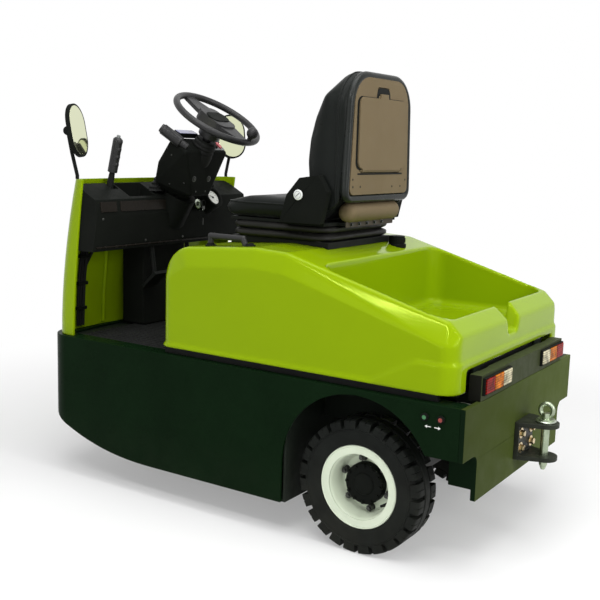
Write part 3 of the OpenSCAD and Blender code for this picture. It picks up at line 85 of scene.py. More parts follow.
def make_camera():
    ahead = Vector((cos(CAMERA_YAW) * cos(CAMERA_PITCH),
                    sin(CAMERA_YAW) * cos(CAMERA_PITCH), -sin(CAMERA_PITCH)))
    level = Vector((sin(CAMERA_YAW), -cos(CAMERA_YAW), 0))
    upright = level.cross(ahead)
    right = level * cos(CAMERA_ROLL) + upright * sin(CAMERA_ROLL)
    up = upright * cos(CAMERA_ROLL) - level * sin(CAMERA_ROLL)
    data = bpy.data.cameras.new("camera")
    data.lens = CAMERA_LENS
    data.sensor_width = SENSOR
    camera = bpy.data.objects.new("camera", data)
    turn = Matrix((right, up, -ahead)).transposed()
    camera.matrix_world = Matrix.Translation(CAMERA_AT) @ turn.to_4x4()
    bpy.context.scene.collection.objects.link(camera)
    bpy.context.scene.camera = camera


# Materials

NOISE_ROUGH = 0.55
NOISE_SPAN = (0.3, 0.7)
LEFT_SHADE_SPAN = (-0.45, 0.45)
SIDE_SHADE_SPAN = (0.3, 0.75)
DUST_SIZE = 14.0
DUST_PATCHES = (0.35, 0.7, 0.2, 1.0)
DUST = (0.16, 0.15, 0.11)
LENS_WAVES = {"Y": 70.0, "Z": 140.0 / 3}
LENS_PATCH_SIZE = 38.0
LENS_PATCHES = (0.35, 0.65, 0.45, 1.35)


class Nodes:
    """A material's node tree with short calls for the nodes used here."""

    def __init__(self, name):
        self.material = bpy.data.materials.new(name)
        self.material.use_nodes = True
        self.tree = self.material.node_tree
        self.shader = self.tree.nodes["Principled BSDF"]
        self.place = self.tree.nodes.new("ShaderNodeTexCoord").outputs["Object"]

    def link(self, a, b):
        self.tree.links.new(a, b)

    def feed(self, **sources):
        """Links outputs to the shader's inputs."""
        for key, source in sources.items():
            self.link(source, self.shader.inputs[key.replace("_", " ")])

    def fix(self, **values):
        """Sets constants on the shader's inputs."""
        for key, value in values.items():
            self.shader.inputs[key.replace("_", " ")].default_value = value

    def add(self, kind, **values):
        node = self.tree.nodes.new(kind)
        for key, value in values.items():
            if hasattr(node, key):
                setattr(node, key, value)
            else:
                node.inputs[key.replace("_", " ")].default_value = value
        return node

    def reckon(self, operation, *sources):
        """A math node fed by outputs of other nodes."""
        node = self.add("ShaderNodeMath", operation=operation)
        for socket, source in zip(node.inputs, sources):
            self.link(source, socket)
        return node.outputs["Value"]

    def noise(self, scale, detail):
        node = self.add("ShaderNodeTexNoise", Scale=scale, Detail=detail, Roughness=NOISE_ROUGH)
        self.link(self.place, node.inputs["Vector"])
        return node.outputs["Fac"]

    def cells(self, scale):
        node = self.add("ShaderNodeTexVoronoi", Scale=scale)
        self.link(self.place, node.inputs["Vector"])
        return node.outputs["Distance"]

    def span(self, source, low, high, to_low=0, to_high=1):
        node = self.add("ShaderNodeMapRange", From_Min=low, From_Max=high, To_Min=to_low, To_Max=to_high)
        self.link(source, node.inputs["Value"])
        return node.outputs["Result"]

    def mix(self, factor, a, b):
        node = self.add("ShaderNodeMix", data_type="RGBA")
        self.link(factor, node.inputs["Factor"])
        for slot, value in (("A", a), ("B", b)):
            socket = [s for s in node.inputs if s.name == slot and s.type == "RGBA"][0]
            if isinstance(value, tuple):
                socket.default_value = (*value, 1)
            else:
                self.link(value, socket)
        return [s for s in node.outputs if s.type == "RGBA"][0]

    def bump(self, height, strength, depth):
        node = self.add("ShaderNodeBump", Strength=strength, Distance=depth * MM)
        self.link(height, node.inputs["Height"])
        return node.outputs["Normal"]

    def axis(self, source, letter):
        node = self.add("ShaderNodeSeparateXYZ")
        self.link(source, node.inputs["Vector"])
        return node.outputs[letter]


def shade(colour, share):
    return tuple(min(1.0, c * share) for c in colour)


def surface(name, colour, rough, drift, grain, specular=0.5, cells=False, rough_vary=0.08,
            dust=None, sides=None, left_shade=None, **shader):
    """A finish whose colour drifts, whose gloss wanders and whose surface has a fine grain.

    drift is the colour's share of change and its scale. grain is the bump's strength, scale and depth.
    dust is its amount at the ground, its top in metres and its colour. sides is a painted shade: the darker
    colour of faces that look left or right. The left-end share is also painted shade: the share of the colour
    that is left at the left end.
    """
    n = Nodes(name)
    n.fix(Specular_IOR_Level=specular, **shader)
    vary, vary_size = drift
    wander = n.span(n.noise(vary_size, 4.0), *NOISE_SPAN)
    base = n.mix(wander, shade(colour, 1 - vary), shade(colour, 1 + vary))
    # Painted shade: the colour darkens towards the left end.
    if left_shade:
        base = n.mix(n.span(n.axis(n.place, "Y"), *LEFT_SHADE_SPAN), base, shade(colour, left_shade))
    # Painted shade: faces that look left or right take the given darker colour.
    if sides:
        turn = n.reckon("ABSOLUTE", n.axis(n.add("ShaderNodeNewGeometry").outputs["Normal"], "Y"))
        base = n.mix(n.span(turn, *SIDE_SHADE_SPAN), base, sides)
    if dust:
        amount, top, dust_colour = dust
        height = n.span(n.axis(n.place, "Z"), 0.0, top, amount, 0.0)
        patches = n.span(n.noise(DUST_SIZE, 6.0), *DUST_PATCHES)
        base = n.mix(n.reckon("MULTIPLY", height, patches), base, dust_colour)
    least = max(0.0, rough - rough_vary)
    gloss = n.span(n.noise(vary_size * 5, 5.0), *NOISE_SPAN, least, rough + rough_vary)
    strength, size, depth = grain
    height = n.cells(size) if cells else n.noise(size, 2.0)
    n.feed(Base_Color=base, Roughness=gloss, Normal=n.bump(height, strength, depth))
    return n.material


def lens_finish(name, colour):
    """Coloured plastic with moulded prisms behind its face."""
    n = Nodes(name)
    n.fix(Specular_IOR_Level=0.02, Roughness=0.08)
    waves = []
    for way, scale in LENS_WAVES.items():
        wave = n.add("ShaderNodeTexWave", bands_direction=way, Scale=scale)
        n.link(n.place, wave.inputs["Vector"])
        waves.append(wave.outputs["Fac"])
    prisms = n.reckon("MULTIPLY", *waves)
    glow = n.add("ShaderNodeVectorMath", operation="SCALE")
    n.link(n.mix(prisms, shade(colour, 0.5), shade(colour, 1.3)), glow.inputs[0])
    n.link(n.span(n.noise(LENS_PATCH_SIZE, 2.0), *LENS_PATCHES), glow.inputs["Scale"])
    n.feed(Base_Color=glow.outputs["Vector"], Normal=n.bump(prisms, 0.25, 1.2))
    return n.material


def make_paints():
    return {
        "lime": surface("lime_gelcoat", (0.222, 0.335, 0.002), 0.09, (0.03, 2), (0.03, 90, 0.3),
            specular=0.22, rough_vary=0.03, Specular_Tint=(0.8, 1.0, 0.16, 1.0)),
        "dark_paint": surface("chassis_paint", (0.0034, 0.0115, 0.0038), 0.3, (0.16, 5), (0.12, 240, 0.3),
            specular=0.02, dust=(0.22, 0.24, (0.028, 0.036, 0.022))),
        # Painted light: the rear plate's olive is the dark chassis paint shown lit from behind; faces that
        # look left or right take the unlit chassis colour, and the plate darkens towards its left end, both
        # painted shade.
        "olive_paint": surface("rear_plate_painted_light", (0.068, 0.092, 0.021), 0.5, (0.1, 4), (0.1, 240, 0.3),
            specular=0.02, sides=(0.0035, 0.0105, 0.004), left_shade=0.48),
        # Painted light: the bar's olive is the dark chassis paint shown lit, and faces that look left or
        # right take a darker painted shade.
        "bar_painted_light": surface("bar_painted_light", (0.034, 0.042, 0.018), 0.5, (0.05, 9), (0.1, 420, 0.2),
            specular=0.04, sides=(0.009, 0.009, 0.007)),
        "hitch_paint": surface("hitch_paint", (0.02, 0.023, 0.016), 0.42, (0.3, 18), (0.25, 420, 0.4),
            specular=0.12),
        "frame_paint": surface("frame_paint", (0.012, 0.016, 0.012), 0.5, (0.2, 7), (0.1, 900, 0.2),
            specular=0.06, dust=(0.35, 0.3, (0.05, 0.048, 0.036))),
        "black_paint": surface("black_paint", (0.011, 0.012, 0.011), 0.38, (0.15, 4), (0.15, 380, 0.2),
            specular=0.03),
        "cream": surface("cream_enamel", (0.64, 0.71, 0.56), 0.2, (0.05, 8), (0.1, 260, 0.3), specular=0.25,
            Coat_Weight=0.2, Coat_Roughness=0.15),
        "white": surface("white_print", (0.78, 0.79, 0.76), 0.4, (0.03, 4), (0.1, 900, 0.2)),
        "dial": surface("dial_face", (0.75, 0.76, 0.71), 0.35, (0.03, 4), (0.05, 900, 0.2)),
    }


def make_metals():
    return {
        "cast": surface("cast_iron", (0.035, 0.036, 0.034), 0.62, (0.25, 12), (0.5, 520, 0.5),
            Metallic=0.4),
        "pan_metal": surface("pan_metal", (0.055, 0.045, 0.033), 0.4, (0.2, 12), (0.15, 400, 0.2),
            specular=0.08),
        "steel": surface("zinc_steel", (0.5, 0.55, 0.46), 0.3, (0.12, 30), (0.15, 800, 0.2), Metallic=1.0),
        # Painted reflection: the pin's green tint stands in for the olive rear plate that it reflects.
        "pin_steel_painted_reflection": surface("pin_steel_painted_reflection", (0.36, 0.42, 0.3), 0.34, (0.2, 24), (0.2, 800, 0.2),
            Metallic=1.0),
        "yellow_zinc": surface("yellow_zinc", (0.62, 0.5, 0.3), 0.28, (0.25, 60), (0.2, 900, 0.2),
            Metallic=1.0),
        "dark_steel": surface("dark_steel", (0.06, 0.062, 0.058), 0.42, (0.3, 40), (0.2, 900, 0.2),
            Metallic=0.8),
        # Painted reflection: the glass's yellow-green tint stands in for the colour of the scene that it
        # reflects.
        "mirror": surface("mirror_glass", (0.7, 0.73, 0.5), 0.03, (0.02, 4), (0.0, 900, 0.2),
            rough_vary=0.01, Metallic=1.0),
    }


def make_plastics():
    return {
        "battery_case": surface("battery_case", (0.055, 0.058, 0.06), 0.5, (0.1, 4), (0.3, 600, 0.2)),
        "cell_cap": surface("cell_cap", (0.45, 0.33, 0.05), 0.4, (0.08, 40), (0.2, 900, 0.2)),
        "black_plastic": surface("black_plastic", (0.0085, 0.0095, 0.0082), 0.44, (0.14, 7),
            (0.45, 1500, 0.25), specular=0.015, cells=True),
        "grip_plastic": surface("grip_plastic", (0.022, 0.022, 0.0225), 0.36, (0.12, 4), (0.3, 1200, 0.2),
            specular=0.22),
        "taupe": surface("taupe_plastic", (0.155, 0.118, 0.068), 0.46, (0.06, 3), (0.45, 1300, 0.25),
            specular=0.04, cells=True),
        "grey_panel": surface("grey_panel", (0.19, 0.2, 0.2), 0.4, (0.08, 4), (0.2, 1200, 0.2)),
        "display": surface("display_glass", (0.12, 0.13, 0.27), 0.12, (0.15, 20), (0.02, 900, 0.2),
            Coat_Weight=0.8, Coat_Roughness=0.05),
        # Brown trim a little lighter than the dash; on the rod along the dash's lower edge the same finish is
        # a painted highlight.
        "trim_and_painted_highlight": surface("trim_and_painted_highlight", (0.0125, 0.0105, 0.0085), 0.25, (0.1, 9), (0.05, 1200, 0.2),
            specular=0.06),
        "pink_key": surface("red_rocker", (0.6, 0.12, 0.13), 0.35, (0.05, 4), (0.1, 900, 0.2)),
        "button_green": surface("green_button", (0.035, 0.17, 0.06), 0.3, (0.1, 60), (0.1, 900, 0.2)),
        "button_red": surface("red_button", (0.25, 0.03, 0.022), 0.3, (0.1, 60), (0.1, 900, 0.2)),
        "white_cap": surface("pivot_cap", (0.7, 0.72, 0.7), 0.35, (0.06, 50), (0.2, 900, 0.2)),
        "lens_red": lens_finish("red_lens", (0.27, 0.008, 0.005)),
        "lens_amber": lens_finish("amber_lens", (0.62, 0.17, 0.004)),
        "lens_clear": lens_finish("clear_lens", (0.62, 0.57, 0.38)),
    }


def make_soft_finishes():
    return {
        "rubber": surface("rubber", (0.014, 0.0145, 0.014), 0.62, (0.2, 9), (0.25, 800, 0.2),
            specular=0.07),
        "tyre": surface("tyre_rubber", (0.0085, 0.0098, 0.0085), 0.5, (0.25, 16), (0.3, 700, 0.3),
            specular=0.06, dust=(0.07, 0.3, DUST)),
        "vinyl": surface("black_vinyl", (0.0075, 0.009, 0.008), 0.34, (0.14, 6), (0.55, 520, 0.4),
            specular=0.06, cells=True, Sheen_Weight=0.04),
        "gloss_vinyl": surface("gloss_vinyl", (0.009, 0.011, 0.0095), 0.3, (0.14, 6), (0.4, 520, 0.3),
            specular=0.18, cells=True),
        "bellows": surface("bellows_vinyl", (0.017, 0.0165, 0.0155), 0.42, (0.2, 9), (0.5, 620, 0.4),
            specular=0.12, cells=True),
    }


M = {**make_paints(), **make_metals(), **make_plastics(), **make_soft_finishes()}

# Outlines, paths and places

AXIS_R = 0.001
AWAY = 400
ABOVE = 1300


def place(x, y, z):
    """A point given in millimetres."""
    return Vector((x, y, z)) * MM


def turns(count):
    return [2 * pi * i / count for i in range(count)]


def stand(origin, up, side=None):
    """Matrix whose Z looks along up from origin; side, if given, leads X."""
    up = Vector(up).normalized()
    if side is None:
        side = X if abs(up.dot(X)) < 0.9 else Y
    across = up.cross(side).normalized()
    side = across.cross(up)
    return Matrix.Translation(Vector(origin)) @ Matrix((side, across, up)).transposed().to_4x4()


def shifted(at, x=0, y=0, z=0):
    """The matrix moved along its own axes."""
    return at @ Matrix.Translation(place(x, y, z))


def turned(at, angle, radius=0, lift=0):
    """The place at an angle and radius round a standing matrix, turned with it."""
    return shifted(at @ Matrix.Rotation(radians(angle), 4, "Z"), radius, 0, lift)


def arc(cx, cy, r, a, b, n=8):
    steps = [radians(a + (b - a) * i / n) for i in range(n + 1)]
    return [(cx + r * cos(t), cy + r * sin(t)) for t in steps]


def round_outline(w, h, r, n=6):
    """Rectangle w by h round the origin with corners of radius r."""
    x = w / 2 - r
    y = h / 2 - r
    return (arc(x, y, r, 0, 90, n) + arc(-x, y, r, 90, 180, n) + arc(-x, -y, r, 180, 270, n)
            + arc(x, -y, r, 270, 360, n))


def even(outline, count):
    """The same closed outline with evenly spaced points."""
    points = [Vector(p) for p in outline]
    points.append(points[0])
    lengths = [(b - a).length for a, b in zip(points, points[1:])]
    total = sum(lengths)
    result = []
    index = 0
    passed = 0.0
    for i in range(count):
        goal = total * i / count
        while passed + lengths[index] < goal:
            passed += lengths[index]
            index += 1
        share = (goal - passed) / max(lengths[index], 1e-9)
        result.append(tuple(points[index].lerp(points[index + 1], share)))
    return result


def smooth_path(points, steps):
    """A curve through the points, with steps to each stretch."""
    path = []
    for i in range(len(points) - 1):
        a = points[max(i - 1, 0)]
        b = points[i]
        c = points[i + 1]
        d = points[min(i + 2, len(points) - 1)]
        for k in range(steps):
            t = k / steps
            path.append(0.5 * (2 * b + (c - a) * t + (2 * a - 5 * b + 4 * c - d) * t ** 2
                               + (3 * b - a - 3 * c + d) * t ** 3))
    path.append(points[-1])
    return path


def tree_of(mesh):
    return BVHTree.FromPolygons([v.co for v in mesh.vertices], [p.vertices for p in mesh.polygons])


TREES = {}


def hit(node, start, toward):
    """Where a ray meets a CAD node, and the face's outward direction there."""
    if node not in TREES:
        TREES[node] = tree_of(nodes[node].data)
    point, normal, _, _ = TREES[node].ray_cast(start, toward)
    if normal.dot(toward) > 0:
        normal = -normal
    return point, normal


def on_face(node, start, toward, side=None):
    """Matrix standing on a CAD node's face where the ray meets it."""
    point, normal = hit(node, start, toward)
    return stand(point, normal, side)


def flat_face(node, toward):
    """Middle and direction of the largest flat of a node that looks toward a direction."""
    areas = {}
    for polygon in nodes[node].data.polygons:
        if polygon.normal.dot(Vector(toward).normalized()) > 0.5:
            key = tuple(round(c, 2) for c in polygon.normal)
            areas.setdefault(key, []).append(polygon)
    flat = max(areas.values(), key=lambda group: sum(p.area for p in group))
    area = sum(p.area for p in flat)
    middle = sum((p.center * p.area for p in flat), Vector()) / area
    return middle, flat[0].normal.copy()


def middle_of(node):
    low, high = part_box(node)
    return (low + high) / 2


# Pieces

SHARP_ANGLE = radians(38.0)
WELD = 0.02 * MM
BOLT_SIDES = 24
SCREW_SIDES = 18


class Shape:
    """Solid bits gathered in one mesh, each placed by a matrix."""

    def __init__(self):
        self.bm = bmesh.new()

    def grid(self, rows, ring=False, at=Matrix()):
        """Skin over equal closed rows of points; ring joins the last row to the first."""
        rings = [[self.bm.verts.new(at @ Vector(p)) for p in row] for row in rows]
        n = len(rings[0])
        for a, b in zip(rings, rings[1:] + rings[:1] if ring else rings[1:]):
            for i in range(n):
                k = (i + 1) % n
                self.bm.faces.new((a[i], a[k], b[k], b[i]))
        if not ring:
            self.bm.faces.new(list(reversed(rings[0])))
            self.bm.faces.new(rings[-1])
        return self

    def lathe(self, profile, at, segments):
        """Profile of (radius, height), turned round Z: a hoop, unless an end is on the axis."""
        hoop = profile[0][0] > 0 and profile[-1][0] > 0
        least = 0 if hoop else AXIS_R
        rows = [[place(max(r, least) * cos(t), max(r, least) * sin(t), z) for r, z in profile]
                for t in turns(segments)]
        return self.grid(rows if hoop else list(zip(*rows)), ring=hoop, at=at)

    def prism(self, outline, depth, at, edge=0):
        """Outline in XY, raised by depth; edge draws in the far rim."""
        cx = sum(x for x, _ in outline) / len(outline)
        cy = sum(y for _, y in outline) / len(outline)
        reach = max(hypot(x - cx, y - cy) for x, y in outline)
        levels = ((1, 0), (1, depth - edge), (1 - edge / reach, depth)) if edge else ((1, 0), (1, depth))
        rows = [[place(cx + (x - cx) * k, cy + (y - cy) * k, z) for x, y in outline] for k, z in levels]
        return self.grid(rows, at=at)

    def box(self, size, at, edge=0):
        """Box standing on its origin."""
        x = size[0] / 2
        y = size[1] / 2
        return self.prism([(-x, -y), (x, -y), (x, y), (-x, y)], size[2], at, edge)

    def tube(self, path, radius, sides=12):
        """Round rod along points; radius is a number or one value per point."""
        radii = radius if isinstance(radius, tuple) else (radius,) * len(path)
        side = (path[1] - path[0]).orthogonal()
        rows = []
        for i, point in enumerate(path):
            ahead = (path[min(i + 1, len(path) - 1)] - path[max(i - 1, 0)]).normalized()
            side = (side - ahead * side.dot(ahead)).normalized()
            across = ahead.cross(side)
            rows.append([point + (side * cos(t) + across * sin(t)) * radii[i] * MM for t in turns(sides)])
        return self.grid(rows)

    def hoop(self, path, radius, middle, sides):
        """Round rod along a closed path round middle."""
        rows = []
        for i, point in enumerate(path):
            ahead = (path[(i + 1) % len(path)] - path[i - 1]).normalized()
            side = ahead.cross(point - middle).normalized()
            out = side.cross(ahead)
            rows.append([point + (out * cos(t) + side * sin(t)) * radius * MM for t in turns(sides)])
        return self.grid(rows, ring=True)

    def bolt(self, across, at, washer=1.9, head=0.62):
        """Hexagon head on a washer; washer and head are shares of the width across flats."""
        w = across * washer / 2
        t = across * 0.12
        self.lathe([(0, 0), (w, 0), (w, t * 0.8), (w * 0.97, t), (0, t)], at, BOLT_SIDES)
        hexagon = arc(0, 0, across / sqrt(3), 0, 300, 5)
        self.prism(hexagon, across * head, shifted(at, z=t), across * 0.06)

    def screw(self, d, at):
        """Low round head."""
        r = d / 2
        h = d * 0.3
        head = [(0, 0), (r, 0), (r, h * 0.35), (r * 0.8, h * 0.85), (r * 0.5, h), (0, h)]
        self.lathe(head, at, SCREW_SIDES)

    def make(self, name, body, look, slot=None, bevel=0.0):
        """The piece, on its body; slot is not used."""
        bmesh.ops.remove_doubles(self.bm, verts=self.bm.verts, dist=1e-6)
        bmesh.ops.dissolve_degenerate(self.bm, edges=self.bm.edges, dist=1e-7)
        bmesh.ops.recalc_face_normals(self.bm, faces=self.bm.faces)
        mesh = bpy.data.meshes.new(name)
        self.bm.to_mesh(mesh)
        self.bm.free()
        piece = link_piece(name, mesh)
        finish(piece, bevel)
        mesh.materials.append(M[look])
        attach(piece, body)
        return piece


def link_piece(name, mesh):
    piece = bpy.data.objects.new(name, mesh)
    bpy.context.scene.collection.objects.link(piece)
    return piece


def modify(piece, name, kind, **values):
    """Adds a modifier with the given settings."""
    modifier = piece.modifiers.new(name, kind)
    for key, value in values.items():
        setattr(modifier, key, value)
    return modifier


def smooth(piece):
    for polygon in piece.data.polygons:
        polygon.use_smooth = True


def finish(piece, bevel):
    """Smooth shading that keeps flats flat, with small rounds on the sharp edges."""
    smooth(piece)
    if bevel:
        modify(piece, "rounds", "BEVEL", width=bevel * MM, segments=2, limit_method="ANGLE",
               angle_limit=SHARP_ANGLE, use_clamp_overlap=False)
    else:
        modify(piece, "split", "EDGE_SPLIT", split_angle=SHARP_ANGLE)
    modify(piece, "weigh", "WEIGHTED_NORMAL", keep_sharp=True)


def applied(piece):
    """Bakes a piece's modifiers into its mesh."""
    bpy.context.view_layer.update()
    graph = bpy.context.evaluated_depsgraph_get()
    mesh = bpy.data.meshes.new_from_object(piece.evaluated_get(graph))
    piece.modifiers.clear()
    piece.data = mesh


def stand_in(piece, node, body, look):
    """Gives a piece made over a CAD node its finish, and puts it in the node's place."""
    piece.data.materials.clear()
    piece.data.materials.append(M[look])
    smooth(piece)
    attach(piece, body)
    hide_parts(node)


# Finish and edge radius of the CAD nodes

NODE_LOOKS = {
    "dark_paint": {"chassis_skirt": 2.0},
    "frame_paint": {"chassis_frame": 0.8, "floor_deck": 0.0, "hood_hinges": 0.8, "front_fork": 1.2},
    "rubber": {"floor_mat": 0.8, "hood_seal": 1.5},
    # Rear plate: chassis paint shown lit, with painted shade on its sides and left end.
    "olive_paint": {"rear_plate": 1.6},
    "cast": {"rear_axle": 1.5},
    "battery_case": {"battery": 4.0},
    # Lamp bar: chassis paint shown lit, with painted shade on its sides.
    "bar_painted_light": {"lamp_bar": 1.6},
    "black_plastic": {"tail_lamps": 0.8, "dash": 2.5, "column_post": 6.0, "column_cover": 0.0,
        "mirror_shells": 1.5, "deck_cap": 1.2, "seat_recliners": 1.5},
    "lens_red": {"tail_lens_red": 1.2},
    "lens_amber": {"tail_lens_amber": 1.2},
    "lens_clear": {"tail_lens_clear": 1.2},
    "hitch_paint": {"hitch_bracket": 1.2},
    # Tow pin: steel with a painted green reflection.
    "pin_steel_painted_reflection": {"tow_pin": 0.5},
    "button_green": {"inch_button_green": 0.8},
    "button_red": {"inch_button_red": 0.8},
    "lime": {"cowl": 2.0, "hood": 0.0},
    "dial": {"gauge_dial": 0.0},
    "steel": {"key_switch": 0.5},
    "black_paint": {"column_tube": 1.0, "pedals": 1.5, "mirror_arms": 0.0, "seat_base": 1.5,
        "seat_pan": 1.5},
    "grip_plastic": {"direction_lever": 2.0, "steering_wheel": 2.0, "hand_brake": 1.5, "grab_handle": 0.0},
    "mirror": {"mirror_glass": 0.3},
    "bellows": {"seat_bellows": 0.0},
    "vinyl": {"seat_cushion": 0.0, "seat_backrest": 0.0},
    "taupe": {"seat_back_panel": 1.0, "document_lid": 1.0},
    "cream": {"front_wheel": 1.2, "rear_wheel_left": 1.2, "rear_wheel_right": 1.2},
    "tyre": {"front_tyre": 0.0, "rear_tyre_left": 0.0, "rear_tyre_right": 0.0},
}


def dress_nodes():
    rows = [(name, look, bevel) for look, group in NODE_LOOKS.items() for name, bevel in group.items()]
    for name, look, bevel in rows:
        node = nodes[name]
        node.data.materials.clear()
        node.data.materials.append(M[look])
        if "custom_normal" in node.data.attributes:
            node.data.attributes.remove(node.data.attributes["custom_normal"])
        modify(node, "weld", "WELD", merge_threshold=WELD)
        finish(node, bevel)


# Wheels, with profiles of (radius, distance from the middle)

LUGS = 24
TYRE_FOOT = [(121, 1), (121, 40), (121, 49.5), (124, 52.5), (132, 55), (146, 55.4), (162, 55.4), (163.4, 57),
             (165, 57), (166.4, 55.4)]
TYRE_BLOCKS = {
    "lug": [(169.5, 56.8), (180, 56.6), (187, 55.8), (190.6, 53.4), (192.1, 49), (192.5, 40), (192.5, 21)],
    "sipe": [(169.5, 56.8), (180, 56.1), (186, 54.4), (189, 51.6), (190.2, 47.6), (190.8, 40), (192.4, 21)],
    "groove": [(169.5, 54.4), (172, 50.5), (175.5, 45.5), (178, 41), (179.4, 36), (180, 28), (181, 21)],
}
TYRE_CORE = [(184, 17.5), (183, 1)]
TYRE_RIB = [(150, -16.5), (184, -16.5), (190.5, -15), (192.5, -12.5), (192.5, 12.5), (190.5, 15), (184, 16.5),
            (150, 16.5)]
RIB_TURNS = 120
LUG_SHARES = {
    0.0: "lug", 0.06: "lug", 0.2: "lug", 0.36: "lug", 0.375: "sipe", 0.395: "sipe", 0.41: "lug", 0.5: "lug",
    0.64: "lug", 0.745: "lug", 0.765: "groove", 0.87: "groove", 0.98: "groove",
}
RIM_DISH = [(98.4, -12.4), (78, -12.4), (78, -10.7), (81.5, -8.5), (84, -3), (86.2, 8), (88.4, 22),
            (90.2, 33), (92, 39), (94.6, 42.8), (97.6, 44.5), (101, 45), (107, 45.6), (110.6, 45.7),
            (111.8, 44.7), (113, 45.1), (114, 48), (116, 50.5), (118.3, 50.6), (120, 48.8),
            (120.1, 43.3), (98.4, 43.3)]
HUB_CAP = [(0, -10.5), (59.8, -10.5), (59.8, 12.5), (58, 16), (50, 16.4), (48, 15.6), (33, 15.6), (31, 19),
           (27, 21.5), (12, 22), (0, 22)]
HUB_KNOBS = 12
HUB_KNOB = 8
KNOB_CIRCLE = (53.5, 16)
WHEEL_NUTS = 6
WHEEL_NUT = 18
NUT_TURN = 12
NUT_CIRCLE = (73, -11)
WHEEL_STUD = [(0, 0), (6, 0), (6, 23), (5, 24), (0, 24)]
VALVE_TURN = -120
VALVE_FOOT = (88, 10)
VALVE_TIP = (82, 42)
VALVE_SHARES = (0, 0.55, 0.6, 1)
VALVE_RADII = (5.5, 4.5, 4, 3.6)


def make_tyre(node, body):
    """Solid tyre with notched shoulder lugs, a middle rib and a ring line on each wall."""
    at = Matrix.Translation(middle_of(node))
    shape = Shape()
    for side, offset in ((1, 0.0), (-1, 0.5)):
        rows = []
        for pitch in range(LUGS):
            for share, block in LUG_SHARES.items():
                t = 2 * pi * (pitch + share + offset) / LUGS
                profile = TYRE_FOOT + TYRE_BLOCKS[block] + TYRE_CORE
                rows.append([place(r * cos(t), y * side, r * sin(t)) for r, y in profile])
        shape.grid(rows, ring=True, at=at)
    rib = [[place(r * cos(t), y, r * sin(t)) for r, y in TYRE_RIB] for t in turns(RIB_TURNS)]
    shape.grid(rib, ring=True, at=at)
    tyre = shape.make(node + "_tread", body, "tyre")
    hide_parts(node)


def make_wheel(tyre_node, name, body, side):
    """Dished rim face, dark hub with knobs round its edge, wheel nuts and a valve."""
    out = stand(middle_of(tyre_node), Y * side, Z)
    Shape().lathe(RIM_DISH, out, 96).make(name + "_dish", body, "cream")
    hub = Shape()
    hub.lathe(HUB_CAP, out, 64)
    for i in range(HUB_KNOBS):
        hub.bolt(HUB_KNOB, turned(out, 360 * i / HUB_KNOBS, *KNOB_CIRCLE), washer=1.5)
    hub.make(name + "_hub_cap", body, "black_plastic", bevel=0.5)
    nuts = Shape()
    for i in range(WHEEL_NUTS):
        at = turned(out, NUT_TURN + 360 * i / WHEEL_NUTS, *NUT_CIRCLE)
        nuts.bolt(WHEEL_NUT, at, washer=1.3, head=0.8)
        nuts.lathe(WHEEL_STUD, at, 16)
    nuts.make(name + "_nuts", body, "dark_steel", "steel", 0.4)
    foot = turned(out, VALVE_TURN, *VALVE_FOOT).translation
    tip = turned(out, VALVE_TURN, *VALVE_TIP).translation
    stem = [foot.lerp(tip, share) for share in VALVE_SHARES]
    Shape().tube(stem, VALVE_RADII, 14).make(name + "_valve", body, "rubber", bevel=0.5)


def make_wheels():
    make_tyre("rear_tyre_left", "rear_wheel_left")
    make_tyre("rear_tyre_right", "rear_wheel_right")
    make_tyre("front_tyre", "front_wheel")
    make_wheel("rear_tyre_left", "left", "rear_wheel_left", 1)
    make_wheel("rear_tyre_right", "right", "rear_wheel_right", -1)


# Soft seat, with the places of its seams in metres

VOXEL = 6 * MM
SEAM_HALF = 4 * MM
SOFT_SHRINK = 3 * MM
SOFT_SINK = 1 * MM
SOFT_START = 6
SOFT_CALM = 4
SOFT_FRAMES = 18
CLOTH_QUALITY = 5
CLOTH_MASS = 0.3
CLOTH_PRESSURE = 5.0
CUSHION_REACH = 12 * MM
CUSHION_SEAM_Z = 0.950
CUSHION_BOLSTER_Y = 0.122
BACK_REACH = 10 * MM
BACK_SEAM_X = -0.186
BACK_FRONT_X = -0.174
BACK_BOLSTER_Y = 0.118
BACK_BOLSTER_TOP = 1.29
BACK_CHANNELS = (1.09, 1.20)
PIPING_R = 3
PIPING_POINTS = 140
PIPING_START = 0.6
BELLOWS_CORNER = 46 * MM
BELLOWS_POINTS = 160
BELLOWS_ROWS = 42
BELLOWS_FOLDS = 2
BELLOWS_TUCK = 15 * MM
BELLOWS_CREASE = 2.4 * MM


def cushion_seam(co):
    """Distance from the cushion's seams."""
    below = max(0.0, CUSHION_SEAM_Z - co.z)
    return min(abs(co.z - CUSHION_SEAM_Z), abs(abs(co.y) - CUSHION_BOLSTER_Y) + below)


def backrest_seam(co):
    """Distance from the backrest's seams and sewn channels."""
    behind = max(0.0, BACK_FRONT_X - co.x)
    bolster = abs(abs(co.y) - BACK_BOLSTER_Y) + max(0.0, co.z - BACK_BOLSTER_TOP)
    channel = min(abs(co.z - z) for z in BACK_CHANNELS) + max(0.0, abs(co.y) - BACK_BOLSTER_Y)
    return min(abs(co.x - BACK_SEAM_X), min(bolster, channel) + behind)


